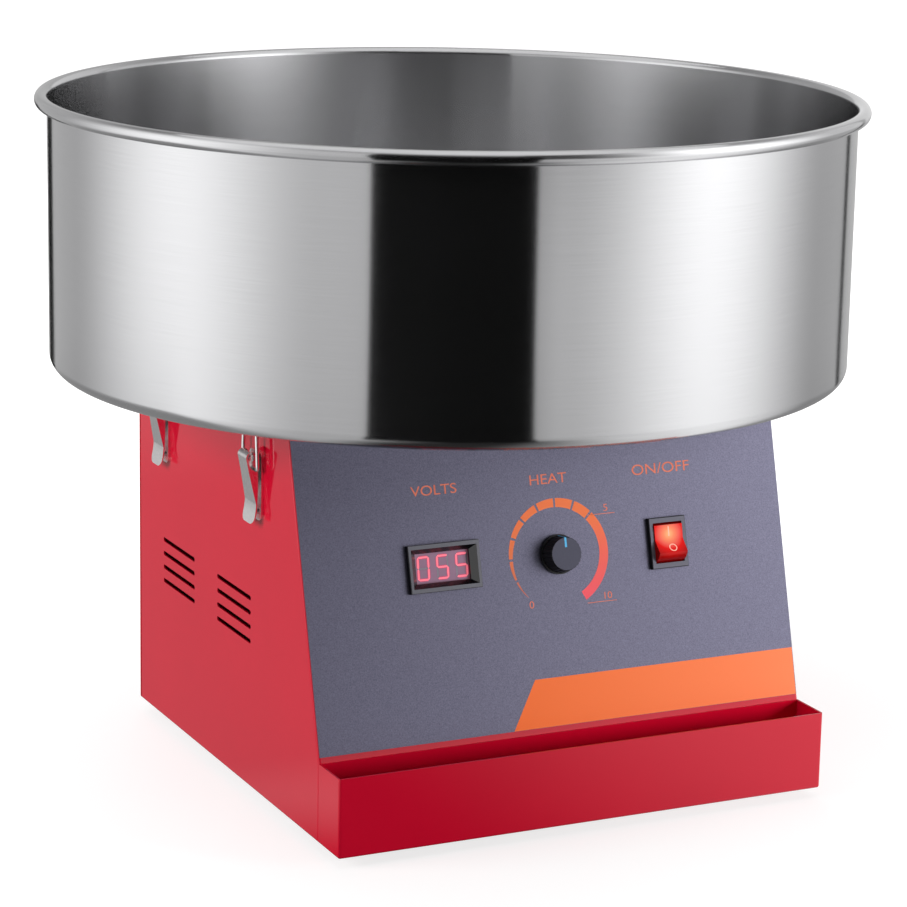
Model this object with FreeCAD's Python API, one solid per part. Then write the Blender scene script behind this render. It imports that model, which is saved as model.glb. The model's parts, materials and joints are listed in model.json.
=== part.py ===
import FreeCAD, Part
import math
import os
from FreeCAD import Placement, Rotation, Vector

# Electric cotton candy machine: a spun steel bowl on a sheet steel housing with an inclined
# control panel and an open tray in front. Four toggle latches hold the bowl down, and a motor
# under the top plate turns the heated spinning head inside the bowl.
# Millimetres. Z is up, +X is the operator's right, -Y is the front.
# The origin is on the floor, below the axis of the bowl and of the motor.

os.makedirs("parts", exist_ok=True)

X, Y, Z = Vector(1, 0, 0), Vector(0, 1, 0), Vector(0, 0, 1)

# ---------------------------------------------------------------- driving dimensions
# Housing
sheet = 1.0                  # thickness of the painted steel sheet
bend_radius = 1.6            # outside radius of the sheet's bends
flange_width = 13.0          # width of the folded flanges
body_width = 325.5
body_height = 239.0
body_back = 126.0            # rear face, measured from the bowl's axis
body_front_top = -124.2      # front edge of the top plate
body_front_low = -175.0      # front face below the inclined panel
foot_height = 6.0            # gap below the housing
foot_radius = 11.0
foot_inset_side = 30.0
foot_inset_front = 26.0
foot_inset_back = 26.0
foot_recess_radius = 5.5
foot_recess_depth = 3.4

# Front tray
tray_depth = 30.0
tray_height = 48.7

# Cooling slots
slot_length = 55.6
slot_height = 2.9
slot_pitch = 9.1
slot_count = 4
slot_groups_y = (53.5, -41.0)
slot_low_z = 93.2            # lowest row, above the housing's lower edge
rear_slot_groups_x = (60.0, -20.0)
intake_slot_count = 5
intake_slot_length = 70.0
intake_slot_width = 3.4
intake_slot_pitch = 11.0

# Screws
screw_radius = 2.0
screw_head_radius = 3.8
screw_head_height = 2.2
screw_length = 8.0
rear_screw_rows = 3
top_screw_rows = 3

# Bowl
bowl_rim_radius = 260.0
bowl_height = 171.5
bowl_wall = 0.8
bowl_bead_radius = 4.25      # outside radius of the rolled rim
bowl_corner_radius = 8.5
bowl_hole_radius = 40.0
bowl_hole_lip = 5.0
gasket_height = 3.0
gasket_radius = 110.0
gasket_width = 14.0

# Centre collar
collar_gap = 0.5             # between the collar and the bowl's hole
collar_height = 17.0
collar_bore_radius = 9.0
collar_wall = 2.0
collar_flange = 3.0
collar_neck_radius = 19.0
collar_screw_count = 3
collar_screw_circle = 28.0

# Spindle, slip rings and spinning head
spindle_radius = 6.0
spindle_thread_radius = 5.0
head_radius = 60.0
head_gap = 8.0               # between the collar and the head
head_floor = 3.0
head_rim_height = 9.0
head_wall = 3.0
head_hub_radius = 13.0
head_height = 48.0
band_wall = 1.4
band_slot_count = 36
band_slot_width = 2.2
band_edge = 6.0
lid_thickness = 2.5
lid_lip = 6.0
sugar_inlet_radius = 17.0
sugar_inlet_depth = 13.0
heater_tube_radius = 2.6
heater_turns = 3
heater_inset = 10.0
head_screw_count = 4
nut_height = 7.0
nut_across = 16.0
ring_radius = 19.0
ring_height = 7.0
ring_gap = 5.0
ring_thickness = 3.0

# Motor
motor_radius = 44.0
motor_height = 84.0
motor_wall = 3.0
bell_height = 12.0
bell_step = 4.0
bearing_radius = 13.0
bearing_height = 9.0
running_clearance = 0.05
armature_radius = 24.0
stator_bore_gap = 1.0
fan_radius = 38.0
fan_height = 14.0
fan_blade_count = 8
fan_blade_thickness = 1.6
fan_gap = 4.0
motor_plate_thickness = 3.0
motor_plate_size = 128.0
pillar_pitch = 104.0
pillar_radius = 6.0
pillar_length = 42.0
damper_radius = 9.0
damper_height = 8.0

# Brush gear
brush_gap = 0.3
brush_width = 7.0
brush_length = 15.0
brush_block_length = 26.0
brush_block_width = 20.0
brush_block_wall = 3.0
spring_thickness = 0.6

# Toggle latches
latch_y = 78.5               # distance of each latch from the bowl's axis
latch_pivot_drop = 26.5      # pivot below the housing's top
latch_pivot_out = 6.6        # pivot outside the housing's side
latch_plate = 1.4
latch_plate_half = 9.6
latch_plate_below = 39.0
latch_plate_above = 3.0
latch_rivet_edge = 5.2       # lower rivets inside the plate's edges
latch_rivet_drop = 15.0      # upper rivet below the pivot
latch_pin_radius = 1.3
ear_thickness = 1.0
ear_half = 5.6
ear_radius = 2.3
ear_root_low = 13.0          # foot of each ear, below the pivot
ear_root_high = 9.0
lever_sheet = 0.8
lever_half = 6.8             # at the pivot
lever_waist_half = 8.9       # where the tip begins
lever_tip_half = 9.3
lever_straight = 9.0         # parallel part of the lever below its pivot
lever_curl_gap = 0.3
lever_curl_end = 85.0        # angle above the horizontal where the curled sheet ends
lever_face_length = 28.2
lever_tip_out = 4.4          # waist outside the housing's side
lever_tip_rise = 2.3         # finger tip outside the waist
lever_tip_length = 12.6
lever_tip_corner = 5.0
bail_radius = 1.15
bail_half = 10.3
bail_eye_half = 11.6
bail_corner = 3.0
bail_drop = 6.8              # bail's eye below the lever's pivot
bail_in = 1.9                # bail's eye inside the lever's pivot
strike_thickness = 1.2
strike_half = 6.0
strike_slack = 0.5           # crossbar above the strike's saddle
strike_saddle = 5.4          # width of the saddle
strike_lip = 2.0
strike_reach = 22.0
strike_rivet_shares = (0.28, 0.62)   # rivets along the strike's upper leg, from the crossbar
bar_drop = 10.0              # crossbar below the housing's top
rivet_radius = 1.3
rivet_head_radius = 2.3
rivet_head_height = 1.0

# Control panel
overlay_thickness = 0.4
overlay_margin_side = 0.8
overlay_margin_low = 3.5
overlay_margin_top = 6.0
control_row = 106.5          # height of the controls along the inclined panel
fit_gap = 0.2                # between a control and its cut-out

meter_x = -71.9
meter_width = 46.8
meter_height = 28.8
meter_rise = 3.6
meter_body_width = 43.0
meter_body_height = 25.0
meter_body_depth = 20.0
meter_window_width = 35.6
meter_window_height = 18.0
meter_mouth_width = 43.0
meter_mouth_height = 23.4
meter_wall = 1.5
meter_lens = 0.8
digit_block_depth = 6.0

knob_x = 4.8
knob_radius = 12.1
knob_face_radius = 10.1
knob_height = 11.5
knob_edge = 0.3              # chamfer round the knob's face
knob_gap = 0.6
knob_skirt_height = 2.0
knob_skirt_step = 0.8
knob_flutes = 24
knob_flute_radius = 0.7
knob_recess_radius = 8.4
knob_recess_depth = 5.0
knob_bore_depth = 3.2
pointer_width = 1.4
pointer_length = 6.0
pointer_depth = 0.8
pot_radius = 12.0
pot_depth = 11.0
pot_bushing_radius = 4.5
pot_bushing_rise = 4.4
pot_shaft_radius = 3.0
pot_nut_height = 2.4
pot_nut_across = 12.0

switch_x = 79.9
switch_width = 25.4
switch_height = 31.4
switch_rise = 3.2
switch_lip = 2.2             # depth of the frame's lip over the rocker's ends
switch_body_width = 21.8
switch_body_height = 28.0
switch_body_depth = 24.0
switch_mouth_width = 20.0
switch_mouth_height = 24.8
switch_wall = 0.9
rocker_gap = 0.3
rocker_end_radius = 12.6     # ends of the rocker, about its pivot
rocker_pivot_depth = 1.9
rocker_half_length = 8.8
rocker_valley = 4.5
rocker_tilt = 15.0           # degrees, to each side
rocker_pin_radius = 1.5
rocker_depth = 5.0

# Electrical parts inside the housing
board_gap_side = 37.0        # between the board and the housing's left side
board_gap_front = 64.0       # between the board and the housing's front face
board_width = 90.0
board_depth = 70.0
board_thickness = 1.6
board_boss_height = 5.0
board_boss_radius = 4.0
board_margin = 3.0           # parts inside the board's edges
relay_width = 20.0
relay_depth = 17.0
relay_height = 16.0
capacitor_radius = 8.0
capacitor_height = 18.0
choke_radius = 9.0
choke_hole = 4.0
choke_height = 8.0
terminal_width = 10.0
terminal_length = 30.0
terminal_height = 11.0
sink_fins = 6
sink_fin_pitch = 7.0
sink_fin_thickness = 2.0
sink_height = 36.0
sink_depth = 30.0
sink_offset = 5.0            # heat sink right of the board's middle
gland_x = -105.0
gland_z = 34.0
gland_bore = 4.6
gland_thread_radius = 8.0
gland_across = 22.0
gland_hex_height = 6.0
gland_cap_radius = 9.6
gland_cap_height = 14.0
gland_tail = 9.0
gland_nut_height = 3.0

# ---------------------------------------------------------------- derived places
half_width = body_width / 2
body_low = foot_height
body_top = body_low + body_height
shell_top = body_top - sheet
shell_back = body_back - sheet
tray_top = body_low + tray_height
tray_front = body_front_low - tray_depth
panel_run = body_front_top - body_front_low
panel_rise = body_top - tray_top
panel_length = math.hypot(panel_run, panel_rise)
panel_lean = math.degrees(math.atan2(panel_run, panel_rise))
sheet_slant = sheet / math.cos(math.radians(panel_lean))
bowl_low = body_top + gasket_height
bowl_floor = bowl_low + bowl_wall
rim_top = bowl_low + bowl_height
wall_inner = bowl_rim_radius - 2 * bowl_bead_radius
wall_outer = wall_inner + bowl_wall
base_low = body_low + sheet
base_top = base_low + sheet
top_low = body_top - sheet
collar_top = body_top + collar_height
collar_flange_top = body_top + collar_flange
head_low = collar_top + head_gap
pillar_low = top_low - pillar_length
motor_plate_top = pillar_low - damper_height
motor_plate_low = motor_plate_top - motor_plate_thickness
motor_top = motor_plate_low
motor_low = motor_top - motor_height
ring_low = motor_plate_top + 4.0
latch_pivot_z = body_top - latch_pivot_drop
latch_pivot_x = half_width + latch_pivot_out
lever_radius = ear_radius + lever_curl_gap + lever_sheet
bar_z = body_top - bar_drop
bar_x = latch_pivot_x - bail_in
board_x = -half_width + sheet + board_gap_side + board_width / 2
board_y = body_front_low + sheet + board_gap_front + board_depth / 2


# ---------------------------------------------------------------- helpers
def box(x0, x1, y0, y1, z0, z1):
    """Block between two corners."""
    return Part.makeBox(x1 - x0, y1 - y0, z1 - z0, Vector(x0, y0, z0))


def block(width, depth, height, x=0.0, y=0.0, z=0.0):
    """Block centred on x and y that stands on z."""
    return Part.makeBox(width, depth, height, Vector(x - width / 2, y - depth / 2, z))


def rod(radius, length, x=0.0, y=0.0, z=0.0, axis=Z):
    """Cylinder that starts at the given point."""
    return Part.makeCylinder(radius, length, Vector(x, y, z), axis)


def tube(outer, inner, length, x=0.0, y=0.0, z=0.0, axis=Z):
    """Hollow cylinder that starts at the given point."""
    return rod(outer, length, x, y, z, axis).cut(rod(inner, length, x, y, z, axis))


def hexagon(across, height, z=0.0):
    """Hexagonal prism on the Z axis, measured across its flats."""
    radius = across / math.sqrt(3)
    corners = [Vector(radius * math.cos(k * math.pi / 3), radius * math.sin(k * math.pi / 3), z)
               for k in range(7)]
    return Part.Face(Part.makePolygon(corners)).extrude(Z * height)


def profile(points, depth, start, axis):
    """Prism of a closed outline; points are vectors, and the outline moves to start along axis."""
    face = Part.Face(Part.makePolygon(points + points[:1]))
    face.translate(axis * start)
    return face.extrude(axis * depth)


def turned(points):
    """Solid of revolution about Z from a closed outline of (radius, height) corners."""
    corners = [Vector(r, 0, z) for r, z in points + points[:1]]
    return Part.Face(Part.makePolygon(corners)).revolve(Vector(0, 0, 0), Z, 360)


def slot(length, width, depth):
    """Slot with round ends, along X, centred on the origin, cut along Z."""
    middle = block(length - width, width, depth)
    left = rod(width / 2, depth, -(length - width) / 2)
    right = rod(width / 2, depth, (length - width) / 2)
    return middle.fuse([left, right])


def ring_of(shape, count, start=0.0):
    """Copies of a shape turned evenly about Z."""
    copies = []
    for k in range(count):
        copy = shape.copy()
        copy.rotate(Vector(0, 0, 0), Z, start + 360.0 * k / count)
        copies.append(copy)
    return copies


def moved(shape, x=0.0, y=0.0, z=0.0):
    """Copy of a shape at another place."""
    copy = shape.copy()
    copy.translate(Vector(x, y, z))
    return copy


def edges_where(shape, test):
    """Edges whose middle point passes a test."""
    found = []
    for edge in shape.Edges:
        middle = edge.valueAt((edge.FirstParameter + edge.LastParameter) / 2)
        if test(edge, middle):
            found.append(edge)
    return found


def export(name, shapes):
    """Write one sub-part as a STEP file."""
    if not isinstance(shapes, list):
        shapes = [shapes]
    solids = [solid for shape in shapes for solid in shape.Solids]
    whole = solids[0] if len(solids) == 1 else Part.makeCompound(solids)
    whole.exportStep("parts/" + name + ".step")


def on_panel(shape, x, rise=0.0, out=0.0):
    """Put a shape from the panel's own frame (X right, Y up the slope, Z outwards) on the panel."""
    turn = Rotation(X, 90.0 - panel_lean)
    foot = Vector(0, body_front_low, tray_top)
    place = Placement(foot, turn).multiply(Placement(Vector(x, rise, out), Rotation()))
    copy = shape.copy()
    copy.Placement = place.multiply(copy.Placement)
    return copy


def on_back(shape, x, z):
    """Put a shape whose Z axis is its way out on the rear panel's outer face."""
    copy = shape.copy()
    copy.Placement = Placement(Vector(x, body_back, z), Rotation(X, -90.0)).multiply(copy.Placement)
    return copy


# ---------------------------------------------------------------- housing
def side_outline(inset):
    """Corners of the housing's side view, moved inwards by a sheet thickness."""
    slant = inset / math.cos(math.radians(panel_lean))
    top = shell_top - inset
    front_top = body_front_top - panel_run * (body_top - top) / panel_rise + slant
    low_step = tray_top - inset * math.tan(math.radians(panel_lean) / 2)
    return [
        Vector(0, shell_back - inset, body_low + inset),
        Vector(0, body_front_low + inset, body_low + inset),
        Vector(0, body_front_low + inset, low_step),
        Vector(0, front_top, top),
        Vector(0, shell_back - inset, top),
    ]


def closed_body(inset, radius):
    """The housing's closed form with its bends rounded."""
    width = body_width - 2 * inset
    form = profile(side_outline(inset), width, -width / 2, X)

    def is_bend(edge, middle):
        return abs(abs(middle.x) - width / 2) < 0.01

    return form.makeFillet(radius, edges_where(form, is_bend))


def slot_cutters():
    """Cooling slots of both sides."""
    cutter = slot(slot_length, slot_height, body_width + 2 * sheet)
    cutter.rotate(Vector(0, 0, 0), Z, 90)
    cutter.rotate(Vector(0, 0, 0), Y, 90)
    cutter.translate(Vector(-half_width - sheet, 0, 0))
    return [moved(cutter, 0, y, body_low + slot_low_z + row * slot_pitch)
            for y in slot_groups_y for row in range(slot_count)]


def flange_screw_rows(low, high, count):
    """Even places of the screws along a flange."""
    margin = 2 * flange_width
    step = (high - low - 2 * margin) / (count - 1)
    return [low + margin + step * k for k in range(count)]


def top_screw_places():
    flange_x = half_width - sheet - flange_width / 2
    rows = flange_screw_rows(body_front_top, shell_back, top_screw_rows)
    return [(side * flange_x, y) for side in (-1, 1) for y in rows]


def rear_screw_places():
    flange_x = half_width - sheet - flange_width / 2
    rows = flange_screw_rows(body_low, shell_top, rear_screw_rows)
    return [(side * flange_x, z) for side in (-1, 1) for z in rows]


def latch_places():
    """Side and Y place of each latch, in the order of their numbers."""
    return [(side, y) for side in (-1, 1) for y in (-latch_y, latch_y)]


def latch_rivet_places():
    """Rivets of one latch, as distance from its middle plane and height."""
    low = latch_pivot_z - latch_plate_below + latch_rivet_edge
    beside = latch_plate_half - latch_rivet_edge
    return [(-beside, low), (beside, low), (0.0, latch_pivot_z - latch_rivet_drop)]


def control_cutouts(gap):
    """Openings for the three controls, through whatever covers the panel."""
    depth = 6 * sheet
    meter = block(meter_body_width + 2 * gap, meter_body_height + 2 * gap, 2 * depth, 0, 0, -depth)
    switch = block(switch_body_width + 2 * gap, switch_body_height + 2 * gap, 2 * depth, 0, 0, -depth)
    bushing = rod(pot_bushing_radius + gap, 2 * depth, 0, 0, -depth)
    return [
        on_panel(meter, meter_x, control_row),
        on_panel(switch, switch_x, control_row),
        on_panel(bushing, knob_x, control_row),
    ]


def make_housing_shell():
    """Left side, inclined front and right side with the folded flanges that the plates close."""
    shell = closed_body(0.0, bend_radius).cut(closed_body(sheet, bend_radius - sheet))
    window_x = half_width - sheet - flange_width
    front_in = body_front_low + sheet
    top_front = body_front_top + sheet_slant
    windows = [
        box(-window_x, window_x, top_front + flange_width, shell_back - sheet - flange_width,
            shell_top - 2 * sheet, body_top),
        box(-window_x, window_x, front_in + flange_width, shell_back - sheet - flange_width,
            body_low - sheet, body_low + 2 * sheet),
        box(-window_x, window_x, shell_back - 2 * sheet, body_back,
            body_low + sheet + flange_width, shell_top - sheet - flange_width),
        box(-window_x, window_x, body_front_low - sheet, front_in + sheet,
            body_low + sheet + flange_width, tray_top - flange_width),
    ]
    holes = [rod(screw_radius, 3 * sheet, x, y, shell_top - 2 * sheet) for x, y in top_screw_places()]
    holes += [rod(screw_radius, 3 * sheet, x, shell_back - 2 * sheet, z, Y)
              for x, z in rear_screw_places()]
    holes += [rod(screw_radius, 3 * sheet, x, y, body_low - sheet) for x, y in base_screw_places()]
    holes += [rod(rivet_radius, body_width + 2 * sheet, -half_width - sheet, y + dy, z, X)
              for y in (-latch_y, latch_y) for dy, z in latch_rivet_places()]
    export("housing_shell", shell.cut(windows + holes + slot_cutters() + control_cutouts(fit_gap)))


def make_top_plate():
    """Cover of the housing that carries the bowl and the motor."""
    plate = box(-half_width, half_width, body_front_top, body_back, top_low, body_top)
    corners = edges_where(plate, lambda edge, middle: abs(middle.z - (top_low + body_top) / 2) < 0.01)
    plate = plate.makeFillet(bend_radius, corners)
    holes = [rod(screw_radius, 3 * sheet, x, y, top_low - sheet) for x, y in top_screw_places()]
    holes += [rod(screw_radius, 3 * sheet, x, y, top_low - sheet) for x, y in collar_screw_places()]
    holes.append(rod(collar_neck_radius, 3 * sheet, 0, 0, top_low - sheet))
    export("top_plate", plate.cut(holes))


def make_rear_panel():
    """Flat rear panel with cooling slots and the cord gland's hole."""
    panel = box(-half_width, half_width, shell_back, body_back, body_low, top_low)
    corners = edges_where(panel, lambda edge, middle: abs(middle.y - (shell_back + body_back) / 2) < 0.01)
    panel = panel.makeFillet(bend_radius, corners)
    cutter = slot(slot_length, slot_height, 4 * sheet)
    cutter.rotate(Vector(0, 0, 0), X, -90)
    holes = [moved(cutter, x, shell_back - sheet, body_low + slot_low_z + row * slot_pitch)
             for x in rear_slot_groups_x for row in range(slot_count)]
    holes += [rod(screw_radius, 3 * sheet, x, shell_back - sheet, z, Y) for x, z in rear_screw_places()]
    holes.append(rod(gland_thread_radius, 4 * sheet, gland_x, shell_back - sheet, gland_z, Y))
    export("rear_panel", panel.cut(holes))


def base_edges():
    """Edges of the base plate, clear of the shell's bends: x, front y and back y."""
    return (half_width - bend_radius - fit_gap, body_front_low + bend_radius + fit_gap,
            shell_back - bend_radius - fit_gap)


def foot_places():
    x = half_width - foot_inset_side
    return [(side * x, y) for side in (-1, 1)
            for y in (body_front_low + foot_inset_front, body_back - foot_inset_back)]


def base_screw_places():
    """Screws through the shell's lower flanges."""
    x = half_width - sheet - flange_width / 2
    front, back = base_edges()[1:]
    return [(side * x, y) for side in (-1, 1) for y in (front + 4 * flange_width, back - 4 * flange_width)]


def intake_cutters():
    """Air slots in the base plate below the fan."""
    cutter = slot(intake_slot_length, intake_slot_width, 3 * sheet)
    first = -(intake_slot_count - 1) / 2
    return [moved(cutter, 0, (first + k) * intake_slot_pitch, base_low - sheet)
            for k in range(intake_slot_count)]


def board_boss_places():
    x, y = board_width / 2 - 1.5 * board_boss_radius, board_depth / 2 - 1.5 * board_boss_radius
    return [(board_x + i * x, board_y + j * y) for i in (-1, 1) for j in (-1, 1)]


def make_base_plate():
    """Plate that closes the housing below, with tapped collars and pressed bosses for the board."""
    x, front, back = base_edges()
    plate = box(-x, x, front, back, base_low, base_top)
    places = foot_places() + base_screw_places()
    collars = [rod(screw_radius + sheet, sheet, px, py, base_top) for px, py in places]
    bosses = [rod(board_boss_radius, board_boss_height, px, py, base_top) for px, py in board_boss_places()]
    holes = [rod(screw_radius, 4 * sheet, px, py, base_low - sheet) for px, py in places]
    export("base_plate", plate.fuse(collars + bosses).cut(holes + intake_cutters()))


def make_front_tray():
    """Open box in front of the housing, folded from sheet."""
    outer = box(-half_width, half_width, tray_front, body_front_low, body_low, tray_top)

    def is_bend(edge, middle):
        front_corner = abs(middle.y - tray_front) < 0.01 and abs(abs(middle.x) - half_width) < 0.01
        floor_edge = abs(middle.z - body_low) < 0.01 and abs(middle.y - body_front_low) > 0.01
        return front_corner or floor_edge

    outer = outer.makeFillet(bend_radius, edges_where(outer, is_bend))
    inner = box(-half_width + sheet, half_width - sheet, tray_front + sheet, body_front_low - sheet,
                body_low + sheet, tray_top + sheet)

    def is_inner_bend(edge, middle):
        front_corner = (abs(middle.y - tray_front - sheet) < 0.01
                        and abs(abs(middle.x) - half_width + sheet) < 0.01)
        floor_edge = (abs(middle.z - body_low - sheet) < 0.01
                      and abs(middle.y - body_front_low + sheet) > 0.01)
        return front_corner or floor_edge

    inner = inner.makeFillet(bend_radius - sheet, edges_where(inner, is_inner_bend))
    export("front_tray", outer.cut(inner))


def pan_screw(length):
    """Screw with a rounded head on top of z = 0 and its shank below."""
    head = rod(screw_head_radius, screw_head_height)
    rim = edges_where(head, lambda edge, middle: abs(middle.z - screw_head_height) < 0.01
                      and edge.Closed)
    head = head.makeFillet(screw_head_height * 0.45, rim)
    return head.fuse(rod(screw_radius, length, 0, 0, -length))


def make_housing_screws():
    """The like screws of the top plate, rear panel, centre collar, base plate and feet."""
    screw = pan_screw(screw_length)
    screws = [moved(screw, x, y, body_top) for x, y in top_screw_places()]
    screws += [on_back(screw, x, z) for x, z in rear_screw_places()]
    screws += [moved(screw, x, y, collar_flange_top) for x, y in collar_screw_places()]
    flipped = screw.copy()
    flipped.rotate(Vector(0, 0, 0), X, 180)
    screws += [moved(flipped, x, y, body_low) for x, y in base_screw_places()]
    screws += [moved(flipped, x, y, foot_recess_depth) for x, y in foot_places()]
    export("housing_screws", screws)


def make_feet():
    """Rubber feet under the base plate, with recesses for their screws."""
    foot = turned([
        (screw_radius, foot_recess_depth), (foot_recess_radius, foot_recess_depth),
        (foot_recess_radius, 0), (foot_radius - 1.5, 0), (foot_radius, 1.5),
        (foot_radius, base_low), (screw_radius, base_low),
    ])
    export("rubber_feet", [moved(foot, x, y) for x, y in foot_places()])


# ---------------------------------------------------------------- bowl
def arc(centre_r, centre_z, radius, start, middle, end):
    """Arc in the plane of the outline, from three angles in degrees."""
    points = [Vector(centre_r + radius * math.cos(math.radians(a)), 0,
                     centre_z + radius * math.sin(math.radians(a))) for a in (start, middle, end)]
    return Part.Arc(*points).toShape()


def make_bowl():
    """Spun bowl: flat floor with a lipped hole, straight wall and a rolled rim."""
    bead_in = bowl_bead_radius - bowl_wall
    bead_r = wall_inner + bowl_bead_radius
    bead_z = rim_top - bowl_bead_radius
    curl_end = -150.0
    corner_z = bowl_low + bowl_corner_radius
    corner_r = wall_outer - bowl_corner_radius
    corner_in = bowl_corner_radius - bowl_wall
    lip_top = bowl_low + bowl_hole_lip

    def at(r, z):
        return Vector(r, 0, z)

    def on_curl(radius, angle):
        return at(bead_r + radius * math.cos(math.radians(angle)),
                  bead_z + radius * math.sin(math.radians(angle)))

    def line(a, b):
        return Part.makeLine(a, b)

    edges = [
        line(at(wall_inner, bead_z), at(wall_inner, corner_z)),
        arc(corner_r, corner_z, corner_in, 0, -45, -90),
        line(at(corner_r, bowl_floor), at(bowl_hole_radius + bowl_wall, bowl_floor)),
        line(at(bowl_hole_radius + bowl_wall, bowl_floor), at(bowl_hole_radius + bowl_wall, lip_top)),
        line(at(bowl_hole_radius + bowl_wall, lip_top), at(bowl_hole_radius, lip_top)),
        line(at(bowl_hole_radius, lip_top), at(bowl_hole_radius, bowl_low)),
        line(at(bowl_hole_radius, bowl_low), at(corner_r, bowl_low)),
        arc(corner_r, corner_z, bowl_corner_radius, -90, -45, 0),
        line(at(wall_outer, corner_z), at(wall_outer, bead_z)),
        arc(bead_r, bead_z, bead_in, 180, 15, curl_end),
        line(on_curl(bead_in, curl_end), on_curl(bowl_bead_radius, curl_end)),
        arc(bead_r, bead_z, bowl_bead_radius, curl_end, 15, 180),
    ]
    face = Part.Face(Part.Wire(Part.__sortEdges__(edges)))
    bowl = face.revolve(Vector(0, 0, 0), Z, 360)
    holes = [rod(rivet_radius, 3 * bowl_wall, x, y, bowl_low - bowl_wall) for x, y in strike_rivet_places()]
    export("bowl", bowl.cut(holes))


def make_bowl_gasket():
    """Rubber ring between the top plate and the bowl."""
    export("bowl_gasket", tube(gasket_radius, gasket_radius - gasket_width, gasket_height, 0, 0, body_top))


def collar_screw_places():
    return [(collar_screw_circle * math.cos(a), collar_screw_circle * math.sin(a))
            for a in (math.radians(90 + 360 * k / collar_screw_count) for k in range(collar_screw_count))]


def make_centre_collar():
    """Turned collar that centres the bowl and shields the spindle's hole from sugar."""
    foot_r = bowl_hole_radius - collar_gap
    collar = turned([
        (collar_neck_radius, body_top), (foot_r, body_top), (foot_r, collar_flange_top),
        (collar_neck_radius + collar_wall, collar_flange_top),
        (collar_neck_radius, collar_top - collar_wall),
        (collar_neck_radius - collar_wall, collar_top), (collar_bore_radius, collar_top),
        (collar_bore_radius, collar_top - collar_wall),
        (collar_neck_radius - 2 * collar_wall, collar_top - collar_wall),
        (collar_neck_radius - collar_wall, collar_flange_top),
    ])
    holes = [rod(screw_radius, 2 * collar_flange, x, y, body_top - sheet) for x, y in collar_screw_places()]
    export("centre_collar", collar.cut(holes))


# ---------------------------------------------------------------- spinning head
def hub_bore(z, height):
    return rod(spindle_thread_radius, height, 0, 0, z)


def head_screw_places():
    radius = head_radius - heater_inset - 4 * heater_tube_radius - screw_radius
    return [(radius * math.cos(a), radius * math.sin(a))
            for a in (math.radians(45 + 360 * k / head_screw_count) for k in range(head_screw_count))]


def make_spinning_head():
    """Cast base, heating element, slotted band, lid with the sugar inlet, tie screws and nut."""
    floor_top = head_low + head_floor
    lid_low = head_low + head_height - lid_thickness
    hub_top = floor_top + head_floor
    band_outer = head_radius - head_wall

    base = turned([
        (spindle_thread_radius, head_low), (head_radius - head_floor, head_low),
        (head_radius, head_low + head_floor), (head_radius, head_low + head_rim_height),
        (band_outer, head_low + head_rim_height), (band_outer, floor_top),
        (head_hub_radius, floor_top), (head_hub_radius, hub_top), (spindle_thread_radius, hub_top),
    ])
    posts = [tube(2 * screw_radius, screw_radius, lid_low - floor_top, x, y, floor_top)
             for x, y in head_screw_places()]
    holes = [rod(screw_radius, 3 * head_floor, x, y, head_low - head_floor) for x, y in head_screw_places()]
    export("head_base", base.cut(holes).fuse(posts))

    band = tube(band_outer, band_outer - band_wall, lid_low - floor_top, 0, 0, floor_top)
    window = block(head_radius, band_slot_width, lid_low - floor_top - 2 * band_edge,
                   head_radius / 2 + band_outer / 2, 0, floor_top + band_edge)
    export("head_band", band.cut(ring_of(window, band_slot_count)))

    ring_r = head_radius - heater_inset
    gap = (lid_low - floor_top) / (heater_turns + 1)
    turns = [Part.makeTorus(ring_r, heater_tube_radius, Vector(0, 0, floor_top + gap * (k + 1)))
             for k in range(heater_turns)]
    legs = [rod(heater_tube_radius * 0.8, gap * heater_turns, side * ring_r, 0, floor_top)
            for side in (-1, 1)]
    export("heating_element", turns[0].fuse(turns[1:] + legs))

    cup_low = lid_low - sugar_inlet_depth
    lid_top = lid_low + lid_thickness
    lid = turned([
        (sugar_inlet_radius, cup_low), (sugar_inlet_radius + lid_thickness, cup_low),
        (sugar_inlet_radius + lid_thickness, lid_low), (band_outer, lid_low),
        (band_outer, lid_low - lid_lip), (head_radius, lid_low - lid_lip),
        (head_radius, lid_top - lid_thickness / 2), (head_radius - lid_thickness / 2, lid_top),
        (sugar_inlet_radius + lid_thickness / 2, lid_top), (sugar_inlet_radius, lid_low),
    ])
    holes = [rod(screw_radius, 3 * lid_thickness, x, y, lid_low - lid_thickness)
             for x, y in head_screw_places()]
    export("head_lid", lid.cut(holes))

    screw = pan_screw(screw_length)
    export("head_screws", [moved(screw, x, y, lid_top) for x, y in head_screw_places()])

    nut = hexagon(nut_across, nut_height, hub_top).cut(hub_bore(hub_top - 1, nut_height + 2))
    export("head_nut", nut)
    return hub_top + nut_height


# ---------------------------------------------------------------- motor and brush gear
def pillar_places():
    half = pillar_pitch / 2
    return [(i * half, j * half) for i in (-1, 1) for j in (-1, 1)]


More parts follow.
